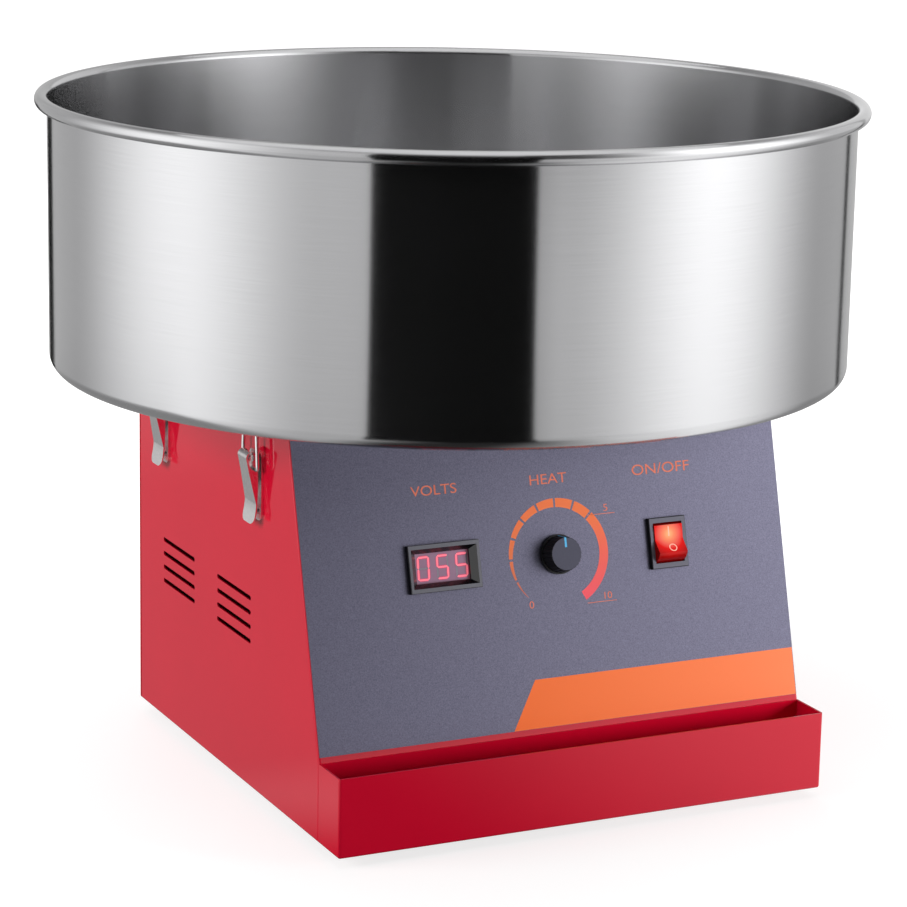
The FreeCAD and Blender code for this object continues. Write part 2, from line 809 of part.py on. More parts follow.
def make_motor():
    """Motor case with end bells, stator, bearings and the rotor's armature."""
    bottom_top = motor_low + bell_height
    top_low_z = motor_top - bell_height
    export("motor_case", tube(motor_radius, motor_radius - motor_wall, top_low_z - bottom_top,
                              0, 0, bottom_top))
    seat = motor_radius - motor_wall
    bell = turned([
        (bearing_radius, 0), (bearing_radius + motor_wall, 0), (motor_radius, bell_step),
        (motor_radius, bell_height), (seat, bell_height), (seat - motor_wall, bell_height - motor_wall),
        (bearing_radius + motor_wall, bearing_height), (bearing_radius, bearing_height),
    ])
    bearing = tube(bearing_radius, spindle_radius + running_clearance, bearing_height)
    flipped = bell.copy()
    flipped.rotate(Vector(0, 0, 0), X, 180)
    export("motor_bells", [moved(bell, 0, 0, motor_low), moved(flipped, 0, 0, motor_top)])
    export("motor_bearings", [moved(bearing, 0, 0, motor_low),
                              moved(bearing, 0, 0, motor_top - bearing_height)])
    stack_low = bottom_top + bell_step
    stack_high = top_low_z - bell_step
    export("motor_stator", tube(seat, armature_radius + stator_bore_gap, stack_high - stack_low,
                                0, 0, stack_low))
    export("motor_armature", tube(armature_radius, spindle_radius, stack_high - stack_low,
                                  0, 0, stack_low))


def make_motor_mount():
    """Plate that carries the motor, hung from the top plate on pillars with rubber dampers."""
    plate = block(motor_plate_size, motor_plate_size, motor_plate_thickness, 0, 0, motor_plate_low)
    corners = edges_where(plate, lambda edge, middle:
                          abs(middle.z - motor_plate_low - motor_plate_thickness / 2) < 0.01)
    plate = plate.makeFillet(pillar_radius, corners)
    holes = [rod(screw_radius, 3 * motor_plate_thickness, x, y, motor_plate_low - motor_plate_thickness)
             for x, y in pillar_places()]
    holes.append(rod(bearing_radius, 3 * motor_plate_thickness, 0, 0,
                     motor_plate_low - motor_plate_thickness))
    export("motor_plate", plate.cut(holes))
    damper = turned([
        (screw_radius, 0), (damper_radius, 0), (damper_radius - 1.5, damper_height / 2),
        (damper_radius, damper_height), (screw_radius, damper_height),
    ])
    export("motor_dampers", [moved(damper, x, y, motor_plate_top) for x, y in pillar_places()])
    pillar = rod(pillar_radius, pillar_length).cut(rod(screw_radius, pillar_length / 2))
    export("motor_pillars", [moved(pillar, x, y, pillar_low) for x, y in pillar_places()])
    screw = pan_screw(motor_plate_thickness + damper_height + pillar_length / 3)
    screw.rotate(Vector(0, 0, 0), X, 180)
    export("motor_screws", [moved(screw, x, y, motor_plate_low) for x, y in pillar_places()])


def ring_lows():
    """Lower faces of the two slip rings."""
    return [ring_low + ring_gap, ring_low + 2 * ring_gap + ring_height]


def make_rotor(shaft_top):
    """Shaft from the fan to the head's nut, the fan, and the insulating hub with its slip rings."""
    fan_top = motor_low - fan_gap
    fan_low = fan_top - fan_height
    shoulder = head_low
    shaft = rod(spindle_radius, shoulder - fan_low, 0, 0, fan_low)
    export("spindle", shaft.fuse(rod(spindle_thread_radius, shaft_top - shoulder, 0, 0, shoulder)))

    hub = tube(head_hub_radius, spindle_radius, fan_height, 0, 0, fan_low)
    disc = tube(fan_radius, spindle_radius, fan_blade_thickness, 0, 0, fan_top - fan_blade_thickness)
    blade = box(head_hub_radius - fan_blade_thickness, fan_radius, -fan_blade_thickness / 2,
                fan_blade_thickness / 2, fan_low, fan_top)
    export("cooling_fan", hub.fuse([disc] + ring_of(blade, fan_blade_count)))

    hub_height = 2 * ring_height + 3 * ring_gap
    inner = ring_radius - ring_thickness
    hub = tube(ring_radius - ring_thickness, spindle_radius, hub_height, 0, 0, ring_low)
    rings = [tube(ring_radius, inner, ring_height, 0, 0, z) for z in ring_lows()]
    export("ring_hub", hub)
    export("slip_rings", rings)


def make_brush_gear():
    """Brush holder on the motor plate, two carbon brushes and the leaf springs behind them."""
    start = ring_radius + 3 * brush_gap
    brush_y = brush_width / 2
    block_low = motor_plate_top
    block_top = ring_lows()[1] + ring_height + brush_block_wall
    holder = box(start, start + brush_block_length, -brush_block_width / 2, brush_block_width / 2,
                 block_low, block_top)
    channels = []
    brushes = []
    springs = []
    tip = ring_radius + brush_gap
    for z in ring_lows():
        channels.append(box(start - 1, start + brush_block_length + 1, -brush_y, brush_y, z, z + ring_height))
        brush = box(ring_radius - brush_gap, tip + brush_length, -brush_y, brush_y, z, z + ring_height)
        brushes.append(brush.cut(rod(tip, 2 * ring_height, 0, 0, z - ring_height / 2)))
        spring_x = tip + brush_length
        end_x = start + brush_block_length
        spring = box(spring_x, spring_x + spring_thickness, -brush_y, brush_y, z + 1, z + ring_height - 1)
        arm = box(spring_x, end_x, brush_y - spring_thickness, brush_y, z + 1, z + ring_height - 1)
        springs.append(spring.fuse(arm))
    export("brush_holder", holder.cut(channels))
    export("carbon_brushes", brushes)
    export("brush_springs", springs)


# ---------------------------------------------------------------- toggle latches
def latch_points(pairs):
    """Outline points of a latch piece: (out, up) measured from the housing's side and the pivot."""
    return [Vector(half_width + out, 0, latch_pivot_z + up) for out, up in pairs]


def pivot_point(radius, angle):
    """Point around the lever's pivot, as (out, up)."""
    return (latch_pivot_out + radius * math.cos(math.radians(angle)),
            radius * math.sin(math.radians(angle)))


def latch_arc(start, middle, end):
    return Part.Arc(*latch_points([start, middle, end])).toShape()


def latch_line(start, end):
    return Part.makeLine(*latch_points([start, end]))


def latch_prism(edges, half):
    """Prism of a closed latch outline, as wide as twice half."""
    face = Part.Face(Part.Wire(Part.__sortEdges__(edges)))
    face.translate(Y * -half)
    return face.extrude(Y * 2 * half)


def across_latch(radius, half, up=0.0, out=0.0):
    """Cylinder across the latch, around a point measured from the pivot."""
    return rod(radius, 2 * half, latch_pivot_x + out, -half, latch_pivot_z + up, Y)


def latch_base():
    """Plate with two folded ears that carry the lever's pin."""
    low = -latch_plate_below
    plate = box(half_width, half_width + latch_plate, -latch_plate_half, latch_plate_half,
                latch_pivot_z + low, latch_pivot_z + latch_plate_above)
    corners = edges_where(plate, lambda edge, middle:
                          abs(middle.x - half_width - latch_plate / 2) < 0.01)
    plate = plate.makeFillet(latch_plate_half * 0.45, corners)
    foot = latch_plate / 2
    ear = [
        latch_line((foot, -ear_root_low), pivot_point(ear_radius, -55)),
        latch_arc(pivot_point(ear_radius, -55), pivot_point(ear_radius, 30), pivot_point(ear_radius, 180)),
        latch_line(pivot_point(ear_radius, 180), (foot, -ear_root_high)),
        latch_line((foot, -ear_root_high), (foot, -ear_root_low)),
    ]
    block_ears = latch_prism(ear, ear_half)
    gap = ear_half - ear_thickness
    ears = block_ears.cut(box(half_width + latch_plate, half_width + 4 * latch_pivot_out, -gap, gap,
                              latch_pivot_z - 2 * ear_root_low, latch_pivot_z + 2 * ear_root_low))
    holes = [rod(rivet_radius, 3 * latch_plate, half_width - latch_plate, y, z, X)
             for y, z in latch_rivet_places()]
    return plate.fuse(ears).cut(holes + [across_latch(latch_pin_radius, 2 * ear_half)])


def lever_side():
    """Side view of the lever: curl round the pivot, straight face, deep flange and turned-out tip."""
    face_top = (latch_pivot_out + lever_radius, 0.0)
    face_low = (lever_tip_out, -lever_face_length)
    tip_low = -lever_face_length - lever_tip_length
    tip_out = (lever_tip_out + lever_tip_rise, tip_low)
    tip_in = (tip_out[0] - lever_sheet, tip_low)
    half_way = -lever_face_length - lever_tip_length / 2
    bulge = lever_tip_rise * 0.3
    back_low = (lever_tip_out - lever_sheet, -lever_face_length)
    flange_edge = (latch_plate + 2 * lever_curl_gap, -lever_straight)
    return [
        latch_line(face_top, face_low),
        latch_arc(face_low, (lever_tip_out + bulge, half_way), tip_out),
        latch_line(tip_out, tip_in),
        latch_arc(tip_in, (lever_tip_out + bulge - lever_sheet, half_way), back_low),
        latch_line(back_low, flange_edge),
        latch_line(flange_edge, pivot_point(lever_radius, -150)),
        latch_arc(pivot_point(lever_radius, -150), pivot_point(lever_radius, 110), face_top),
    ]


def lever_channel():
    """Room between the lever's two flanges, behind its face."""
    inner = lever_radius - lever_sheet
    end = lever_curl_end
    slope = (lever_radius + latch_pivot_out - lever_tip_out) / lever_face_length
    low = -lever_face_length + 2.0
    face_in = (latch_pivot_out + inner, 0.0)
    face_low = (latch_pivot_out + inner + slope * low, low)
    return [
        latch_arc(pivot_point(inner, end), pivot_point(inner, end / 2), face_in),
        latch_line(face_in, face_low),
        latch_line(face_low, (-latch_pivot_out, low)),
        latch_line((-latch_pivot_out, low), (-latch_pivot_out, 3 * lever_radius)),
        latch_line((-latch_pivot_out, 3 * lever_radius), pivot_point(3 * lever_radius, end)),
        latch_line(pivot_point(3 * lever_radius, end), pivot_point(inner, end)),
    ]


def lever_front(inset):
    """Front view of the lever, as a prism: it widens from the pivot to a tip with round corners."""
    tip_low = -lever_face_length - lever_tip_length
    half_outline = [
        (lever_half, 2 * lever_radius), (lever_half, -lever_straight),
        (lever_waist_half, -lever_face_length), (lever_tip_half, tip_low),
    ]
    side = [Vector(half_width - 4 * latch_pivot_out, half - inset, latch_pivot_z + up)
            for half, up in half_outline]
    mirrored = [Vector(p.x, -p.y, p.z) for p in reversed(side)]
    face = Part.Face(Part.makePolygon(side + mirrored + side[:1]))
    prism = face.extrude(X * 8 * latch_pivot_out)
    corners = edges_where(prism, lambda edge, middle: abs(middle.z - latch_pivot_z - tip_low) < 0.01
                          and abs(middle.y) > lever_half)
    return prism.makeFillet(lever_tip_corner, corners)


def latch_lever():
    """Lever of folded sheet: a face, two flanges with the pin's and the bail's holes."""
    body = latch_prism(lever_side(), lever_tip_half).common(lever_front(0.0))
    room = latch_prism(lever_channel(), lever_tip_half).common(lever_front(lever_sheet))
    return body.cut([
        room,
        across_latch(latch_pin_radius + running_clearance, 2 * lever_half),
        across_latch(bail_radius + running_clearance, 2 * lever_half, -bail_drop, -bail_in),
    ])


def latch_pin():
    """Pivot pin with a head at each end."""
    head_at = lever_half + 3 * running_clearance
    head = rod(latch_pin_radius * 1.5, rivet_head_height * 0.7, latch_pivot_x, head_at, latch_pivot_z, Y)
    other = rod(latch_pin_radius * 1.5, rivet_head_height * 0.7, latch_pivot_x, -head_at, latch_pivot_z, -Y)
    return across_latch(latch_pin_radius, head_at).fuse([head, other])


def latch_bail():
    """Wire bail: two legs from the lever's eyes to the crossbar behind the strike."""
    eye_z = latch_pivot_z - bail_drop
    eye_end = lever_half - lever_sheet + running_clearance
    turn = bail_corner * (1 - math.sqrt(0.5))

    def at(y, z):
        return Vector(bar_x, y, z)

    edges = [Part.makeLine(at(-bail_half + bail_corner, bar_z), at(bail_half - bail_corner, bar_z))]
    for side in (-1, 1):
        leg = side * bail_half
        foot = side * bail_eye_half
        inner = side * (bail_eye_half - 2 * bail_radius)
        elbow = 2 * bail_radius
        bend = elbow * (1 - math.sqrt(0.5))
        edges.append(Part.Arc(at(side * (bail_half - bail_corner), bar_z),
                              at(leg - side * turn, bar_z - turn),
                              at(leg, bar_z - bail_corner)).toShape())
        edges.append(Part.makeLine(at(leg, bar_z - bail_corner), at(foot, eye_z + elbow)))
        edges.append(Part.Arc(at(foot, eye_z + elbow), at(foot - side * bend, eye_z + bend),
                              at(inner, eye_z)).toShape())
        edges.append(Part.makeLine(at(inner, eye_z), at(side * eye_end, eye_z)))
    path = Part.Wire(Part.__sortEdges__(edges))
    start = path.OrderedVertexes[0].Point
    circle = Part.Wire(Part.makeCircle(bail_radius, start, Y))
    return path.makePipeShell([circle], True, False)


def strike_rivet_places():
    """Two rivets of each strike, as x and y."""
    return [(side * (bar_x + strike_reach * share), y) for side, y in latch_places()
            for share in strike_rivet_shares]


def latch_strike():
    """Bent strip under the bowl whose saddle holds the bail's crossbar."""
    stem = bar_x - bail_radius - 2.2 * strike_slack
    saddle = bar_z - bail_radius - strike_slack
    low = saddle - strike_thickness
    lip = stem + strike_saddle
    t = strike_thickness
    outline = [
        (stem - t, bowl_low), (bar_x + strike_reach, bowl_low), (bar_x + strike_reach, bowl_low - t),
        (stem, bowl_low - t), (stem, saddle), (lip, saddle), (lip, saddle + strike_lip),
        (lip + t, saddle + strike_lip), (lip + t, low), (stem - t, low),
    ]
    strip = profile([Vector(x, 0, z) for x, z in outline], 2 * strike_half, -strike_half, Y)
    outer = edges_where(strip, lambda edge, middle: abs(middle.z - low) < 0.01
                        and abs(middle.y) < 0.01)
    strip = strip.makeFillet(t, outer)
    holes = [rod(rivet_radius, 3 * t, bar_x + strike_reach * share, 0, bowl_low - 2 * t)
             for share in strike_rivet_shares]
    return strip.cut(holes)


def dome_rivet(length):
    """Rivet with a domed head on top of z = 0, a shank and a flat closing head."""
    dome_radius = (rivet_head_radius ** 2 + rivet_head_height ** 2) / (2 * rivet_head_height)
    ball = Part.makeSphere(dome_radius, Vector(0, 0, rivet_head_height - dome_radius))
    head = ball.common(rod(rivet_head_radius, rivet_head_height))
    shank = rod(rivet_radius, length, 0, 0, -length)
    tail = rod(rivet_radius * 1.5, rivet_head_height * 0.6, 0, 0, -length - rivet_head_height * 0.6)
    return head.fuse([shank, tail])


def make_latches():
    """Four latches, two a side; the left ones mirror the right ones."""
    bases, pins, strikes, rivets = [], [], [], []
    plate_rivet = dome_rivet(latch_plate + sheet)
    plate_rivet.rotate(Vector(0, 0, 0), Y, 90)
    strike_rivet = dome_rivet(bowl_wall + strike_thickness)

    def place(shape, side, y):
        copy = moved(shape, 0, y)
        return copy if side > 0 else copy.mirror(Vector(0, 0, 0), X)

    for number, (side, y) in enumerate(latch_places(), 1):
        bases.append(place(latch_base(), side, y))
        pins.append(place(latch_pin(), side, y))
        strikes.append(place(latch_strike(), side, y))
        for dy, z in latch_rivet_places():
            rivets.append(place(moved(plate_rivet, half_width + latch_plate, dy, z), side, y))
        export("latch_lever_%d" % number, place(latch_lever(), side, y))
        export("latch_bail_%d" % number, place(latch_bail(), side, y))
    export("latch_bases", bases)
    export("latch_pins", pins)
    export("bowl_strikes", strikes)
    rivets += [moved(strike_rivet, x, y, bowl_floor) for x, y in strike_rivet_places()]
    export("latch_rivets", rivets)


# ---------------------------------------------------------------- control panel
def make_overlay():
    """Printed sheet stuck on the inclined panel."""
    width = body_width - 2 * overlay_margin_side
    height = panel_length - overlay_margin_low - overlay_margin_top
    sheet_part = block(width, height, overlay_thickness, 0, overlay_margin_low + height / 2)
    export("panel_overlay", on_panel(sheet_part, 0).cut(control_cutouts(fit_gap)))


def rectangle(width, height, z):
    """Rectangular wire centred on the Z axis."""
    w, h = width / 2, height / 2
    corners = [Vector(-w, -h, z), Vector(w, -h, z), Vector(w, h, z), Vector(-w, h, z), Vector(-w, -h, z)]
    return Part.makePolygon(corners)


def make_voltmeter():
    """Panel meter: case with a bevelled front, window, and a board with its digit block."""
    back = -meter_body_depth
    front = overlay_thickness + meter_rise
    flange = block(meter_width, meter_height, meter_rise, 0, 0, overlay_thickness)
    front_edges = edges_where(flange, lambda edge, middle: middle.z > front - 0.01)
    flange = flange.makeFillet(0.4, front_edges)
    body = block(meter_body_width, meter_body_height, overlay_thickness - back, 0, 0, back)
    bevel = Part.makeLoft([rectangle(meter_window_width, meter_window_height, overlay_thickness),
                           rectangle(meter_mouth_width, meter_mouth_height, front)], True, True)
    mouth = bevel.fuse(block(meter_window_width, meter_window_height, 2 * meter_wall, 0, 0,
                             overlay_thickness - 2 * meter_wall))
    room = block(meter_body_width - 2 * meter_wall, meter_body_height - 2 * meter_wall,
                 meter_body_depth, 0, 0, back - meter_wall)
    case = flange.fuse(body).cut([mouth, room])
    export("voltmeter_case", on_panel(case, meter_x, control_row))

    lens_back = back - meter_wall + meter_body_depth - meter_lens
    lens = block(meter_body_width - 2 * meter_wall, meter_body_height - 2 * meter_wall, meter_lens,
                 0, 0, lens_back)
    export("voltmeter_window", on_panel(lens, meter_x, control_row))

    digits = block(meter_window_width - meter_wall, meter_window_height - meter_wall,
                   digit_block_depth, 0, 0, lens_back - digit_block_depth)
    board = block(meter_body_width - 2 * meter_wall, meter_body_height - 2 * meter_wall,
                  board_thickness, 0, 0, lens_back - digit_block_depth - board_thickness)
    export("voltmeter_board", on_panel(digits.fuse(board), meter_x, control_row))


def make_temperature_control():
    """Potentiometer with its nut, and the knob with its shaft and pointer."""
    body = rod(pot_radius, pot_depth, 0, 0, -sheet - pot_depth)
    bushing = rod(pot_bushing_radius, sheet + pot_bushing_rise, 0, 0, -sheet)
    bore_low = -sheet - pot_depth / 2 - running_clearance
    bore = rod(pot_shaft_radius + running_clearance, overlay_thickness + pot_bushing_rise - bore_low,
               0, 0, bore_low)
    tags = [block(1.2, 8.0, 0.8, dx, -pot_radius - 2.0, -sheet - pot_depth + 1.0) for dx in (-5, 0, 5)]
    export("potentiometer", on_panel(body.fuse([bushing] + tags).cut(bore), knob_x, control_row))

    nut = hexagon(pot_nut_across, pot_nut_height, overlay_thickness)
    nut = nut.cut(rod(pot_bushing_radius, 2 * pot_nut_height, 0, 0, 0))
    export("potentiometer_nut", on_panel(nut, knob_x, control_row))

    base = overlay_thickness + knob_gap
    top = base + knob_height
    skirt_top = base + knob_skirt_height
    recess = base + knob_recess_depth
    bore_top = recess + knob_bore_depth
    body_radius = knob_radius - knob_skirt_step
    knob = turned([
        (0, bore_top), (pot_shaft_radius, bore_top), (pot_shaft_radius, recess),
        (knob_recess_radius, recess), (knob_recess_radius, base), (knob_radius, base),
        (knob_radius, skirt_top), (body_radius, skirt_top),
        (knob_face_radius, top - knob_edge), (knob_face_radius - knob_edge, top), (0, top),
    ])
    flute = rod(knob_flute_radius, knob_height, body_radius + 0.35 * knob_flute_radius, 0, skirt_top)
    lean = math.degrees(math.atan2(body_radius - knob_face_radius, top - skirt_top))
    flute.rotate(Vector(body_radius, 0, skirt_top), Y, -lean)
    core = turned([
        (0, skirt_top), (body_radius - pointer_depth, skirt_top),
        (knob_face_radius - pointer_depth, top - pointer_depth), (0, top - pointer_depth),
    ])
    line = box(-pointer_width / 2, pointer_width / 2, knob_face_radius - pointer_length,
               knob_radius, skirt_top, top)
    pointer = line.common(knob).cut(core)
    start = 90.0 + 180.0 / knob_flutes
    knob = knob.cut(ring_of(flute, knob_flutes, start)).cut(pointer)
    export("knob", on_panel(knob, knob_x, control_row))
    export("knob_pointer", on_panel(pointer, knob_x, control_row))
    shaft_low = -sheet - pot_depth / 2
    shaft = rod(pot_shaft_radius, bore_top - shaft_low, 0, 0, shaft_low)
    export("knob_shaft", on_panel(shaft, knob_x, control_row))


def rocker_outline():
    """Side view of the rocker about its pivot: round ends and a shallow valley between two faces."""
    valley = rocker_valley + rocker_pivot_depth
    tip_y = rocker_half_length
    tip_z = math.sqrt(rocker_end_radius ** 2 - tip_y ** 2)
    low_z = -rocker_depth
    low_y = math.sqrt(rocker_end_radius ** 2 - low_z ** 2)

    def at(y, z):
        return Vector(0, y, z)

    return [
        Part.makeLine(at(0, valley), at(tip_y, tip_z)),
        Part.Arc(at(tip_y, tip_z), at(rocker_end_radius, 0), at(low_y, low_z)).toShape(),
        Part.makeLine(at(low_y, low_z), at(-low_y, low_z)),
        Part.Arc(at(-low_y, low_z), at(-rocker_end_radius, 0), at(-tip_y, tip_z)).toShape(),
        Part.makeLine(at(-tip_y, tip_z), at(0, valley)),
    ]


def make_switch():
    """Rocker switch: frame and body in one moulding, and the rocker with its pivot pins."""
    back = -switch_body_depth
    front = overlay_thickness + switch_rise
    frame = block(switch_width, switch_height, switch_rise, 0, 0, overlay_thickness)
    frame = frame.makeFillet(0.6, edges_where(frame, lambda edge, middle: middle.z > front - 0.01))
    body = block(switch_body_width, switch_body_height, overlay_thickness - back, 0, 0, back)
    room_height = 2 * (rocker_end_radius + rocker_gap)
    room_low = -rocker_pivot_depth - rocker_end_radius - rocker_gap
    mouth = block(switch_mouth_width, switch_mouth_height, 3 * switch_rise, 0, 0, -switch_rise)
    room = block(switch_mouth_width, room_height, front - switch_lip - room_low, 0, 0, room_low)
    pin_end = switch_mouth_width / 2 + switch_wall / 2
    pivot_hole = rod(rocker_pin_radius + running_clearance, 2 * pin_end + 2 * running_clearance,
                     -pin_end - running_clearance, 0, -rocker_pivot_depth, X)
    frame = frame.fuse(body).cut([mouth, room, pivot_hole])
    export("switch_frame", on_panel(frame, switch_x, control_row))

    half = switch_mouth_width / 2 - rocker_gap
    face = Part.Face(Part.Wire(Part.__sortEdges__(rocker_outline())))
    face.translate(X * -half)
    rocker = face.extrude(X * 2 * half).fuse(rod(rocker_pin_radius, 2 * pin_end, -pin_end, 0, 0, X))
    rocker.rotate(Vector(0, 0, 0), X, -rocker_tilt)
    rocker.translate(Vector(0, 0, -rocker_pivot_depth))
    export("rocker", on_panel(rocker, switch_x, control_row))


# ---------------------------------------------------------------- electrical parts inside
def make_power_board():
    """Power control board on the base plate's bosses, with its parts and a finned heat sink."""
    board_low = base_top + board_boss_height
    board_top = board_low + board_thickness
    board = block(board_width, board_depth, board_thickness, board_x, board_y, board_low)
    left = board_x - board_width / 2 + board_margin
    right = board_x + board_width / 2 - board_margin
    low = board_y - board_depth / 2 + board_margin
    high = board_y + board_depth / 2 - board_margin
    relay = block(relay_width, relay_depth, relay_height,
                  left + relay_width / 2, high - relay_depth / 2 - board_boss_radius, board_top)
    capacitor = rod(capacitor_radius, capacitor_height, left + capacitor_radius,
                    low + capacitor_radius + 2 * board_boss_radius, board_top)
    choke = tube(choke_radius, choke_hole, choke_height, right - choke_radius,
                 high - choke_radius - board_boss_radius, board_top)
    terminals = block(terminal_width, terminal_length, terminal_height, right - terminal_width / 2,
                      low + terminal_length / 2 + board_boss_radius, board_top)
    export("power_board", board.fuse([relay, capacitor, choke, terminals]))
    span = (sink_fins - 1) * sink_fin_pitch + sink_fin_thickness
    sink_x = board_x + sink_offset
    spine = block(span, sink_fin_thickness * 1.5, sink_height, sink_x, board_y, board_top)
    fins = [block(sink_fin_thickness, sink_depth, sink_height,
                  sink_x - span / 2 + sink_fin_thickness / 2 + k * sink_fin_pitch,
                  board_y, board_top) for k in range(sink_fins)]
    export("heat_sink", spine.fuse(fins))


def make_cord_gland():
    """Cord gland through the rear panel, clamped by a nut inside."""
    seat = hexagon(gland_across, gland_hex_height)
    cap = rod(gland_cap_radius, gland_cap_height, 0, 0, gland_hex_height)
    cap = cap.makeFillet(2.5, edges_where(cap, lambda edge, middle: edge.Closed and
                                          abs(middle.z - gland_hex_height - gland_cap_height) < 0.01))
    tail = rod(gland_thread_radius, gland_tail, 0, 0, -gland_tail)
    whole = gland_hex_height + gland_cap_height
    bore = rod(gland_bore, whole + gland_tail + 2, 0, 0, -gland_tail - 1)
    export("cord_gland", on_back(seat.fuse([cap, tail]).cut(bore), gland_x, gland_z))
    nut = hexagon(gland_across, gland_nut_height, -sheet - gland_nut_height)
    nut = nut.cut(rod(gland_thread_radius, 4 * gland_nut_height, 0, 0, -2 * gland_nut_height))
    export("gland_nut", on_back(nut, gland_x, gland_z))


# ---------------------------------------------------------------- the whole machine
make_housing_shell()
make_top_plate()
make_rear_panel()
make_base_plate()
make_front_tray()
make_housing_screws()
make_feet()
make_bowl()
make_bowl_gasket()
make_centre_collar()
shaft_end = make_spinning_head()
make_motor()
make_motor_mount()
make_rotor(shaft_end)
make_brush_gear()
make_latches()
make_overlay()
make_voltmeter()
make_temperature_control()
make_switch()
make_power_board()
make_cord_gland()
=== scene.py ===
import json
import math

import bmesh
import bpy
from mathutils import Matrix, Vector


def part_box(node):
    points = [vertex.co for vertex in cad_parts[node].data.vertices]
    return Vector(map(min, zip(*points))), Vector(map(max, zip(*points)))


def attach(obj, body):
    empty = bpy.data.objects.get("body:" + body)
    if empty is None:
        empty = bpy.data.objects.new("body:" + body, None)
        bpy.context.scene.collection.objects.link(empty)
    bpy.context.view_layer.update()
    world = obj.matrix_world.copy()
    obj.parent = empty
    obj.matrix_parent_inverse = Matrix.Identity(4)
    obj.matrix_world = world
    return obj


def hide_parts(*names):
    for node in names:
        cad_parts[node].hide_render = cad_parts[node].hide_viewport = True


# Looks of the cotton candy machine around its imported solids. Metres, +Z up, -Y the front.

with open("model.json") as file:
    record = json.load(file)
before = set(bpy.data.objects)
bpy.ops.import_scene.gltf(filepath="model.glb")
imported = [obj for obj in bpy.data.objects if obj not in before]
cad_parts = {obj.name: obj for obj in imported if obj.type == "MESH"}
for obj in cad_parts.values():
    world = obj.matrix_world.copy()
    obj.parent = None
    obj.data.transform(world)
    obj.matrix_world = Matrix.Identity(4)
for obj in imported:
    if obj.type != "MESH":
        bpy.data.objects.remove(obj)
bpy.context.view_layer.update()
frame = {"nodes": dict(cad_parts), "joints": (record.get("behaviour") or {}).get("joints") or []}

MM = 0.001
BODY = "machine"
joints = {joint["name"]: joint for joint in frame["joints"]}

# ---------------------------------------------------------------- sizes read from the frame
bowl_low, bowl_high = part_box("bowl")
window_low, window_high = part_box("voltmeter_window")
switch_low, switch_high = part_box("switch_frame")

# The panel's own frame: X right, Y up the slope, Z outwards, with its origin on the control row.
knob_at = Vector(joints["knob_turn"]["pos_m"])
panel_out = Vector(joints["knob_turn"]["axis"]).normalized()
panel_up = panel_out.cross(Vector((1, 0, 0)))
panel_origin = Vector((0, knob_at.y, knob_at.z))
panel_matrix = Matrix((
    (1, panel_up.x, panel_out.x, panel_origin.x),
    (0, panel_up.y, panel_out.y, panel_origin.y),
    (0, panel_up.z, panel_out.z, panel_origin.z),
    (0, 0, 0, 1),
))
dial_x = 5.6 * MM            # middle of the printed dial
meter_x = (window_low.x + window_high.x) / 2
switch_x = (switch_low.x + switch_high.x) / 2
control_row = 106.5 * MM     # control row above the panel's lower edge
overlay_top = 0.4 * MM       # printed sheet's face above the steel
ink = 0.05 * MM              # printed marks above the sheet
SHEET_GRAIN = 1400.0         # speckle of the sheet and of the ink on it, waves to the metre
INK_ROUGHNESS = 0.45


# ---------------------------------------------------------------- material helpers
def srgb(red, green, blue):
    """Linear colour from the usual 0 to 255 values."""
    def linear(value):
        value = value / 255
        return value / 12.92 if value <= 0.04045 else ((value + 0.055) / 1.055) ** 2.4
    return (linear(red), linear(green), linear(blue), 1.0)


class Surface:
    """A procedural material round one Principled shader."""

    def __init__(self, name, **settings):
        self.material = bpy.data.materials.new(name)
        self.material.use_nodes = True
        self.tree = self.material.node_tree
        self.shader = self.tree.nodes["Principled BSDF"]
        for key, value in settings.items():
            self.shader.inputs[key.replace("_", " ")].default_value = value

    def node(self, kind, inputs=None, **settings):
        made = self.tree.nodes.new(kind)
        for key, value in settings.items():
            setattr(made, key, value)
        for key, value in (inputs or {}).items():
            if isinstance(value, bpy.types.NodeSocket):
                self.tree.links.new(value, made.inputs[key])
            else:
                made.inputs[key].default_value = value
        return made

    def link(self, output, name):
        self.tree.links.new(output, self.shader.inputs[name])

    def place(self):
        """Object coordinates."""
        return self.node("ShaderNodeTexCoord").outputs["Object"]

    def noise(self, scale, detail, roughness=0.5, vector=None):
        inputs = {"Vector": vector or self.place(), "Scale": scale, "Detail": detail, "Roughness": roughness}
        return self.node("ShaderNodeTexNoise", inputs).outputs["Fac"]

    def ramp(self, factor, stops, blend="LINEAR"):
        """Colour ramp from (position, colour) pairs."""
        made = self.node("ShaderNodeValToRGB", {"Fac": factor})
        made.color_ramp.interpolation = blend
        elements = made.color_ramp.elements
        while len(elements) < len(stops):
            elements.new(0.5)
        for element, (position, colour) in zip(elements, stops):
            element.position = position
            element.color = colour
        return made.outputs["Color"]

    def bump(self, height, distance, strength):
        inputs = {"Height": height, "Distance": distance, "Strength": strength}
        self.link(self.node("ShaderNodeBump", inputs).outputs["Normal"], "Normal")

    def vary(self, factor, low, high, name):
        """Shader input that follows a texture between two values."""
        inputs = {"Value": factor, "To Min": low, "To Max": high}
        self.link(self.node("ShaderNodeMapRange", inputs).outputs["Result"], name)

    def tint(self, factor, colour, spread):
        """Base colour that varies a little round one colour."""
        dark = tuple(c * (1 - spread) for c in colour[:3]) + (1.0,)
        light = tuple(min(c * (1 + spread), 1.0) for c in colour[:3]) + (1.0,)
        self.link(self.ramp(factor, [(0.3, dark), (0.7, light)]), "Base Color")


def painted(name, colour):
    """Gloss stoving enamel with a faint orange peel."""
    made = Surface(name, Roughness=0.08, Specular_IOR_Level=0.45)
    made.tint(made.noise(9.0, 3.0), colour, 0.03)
    made.bump(made.noise(260.0, 2.0), 0.004 * MM, 0.5)
    return made.material


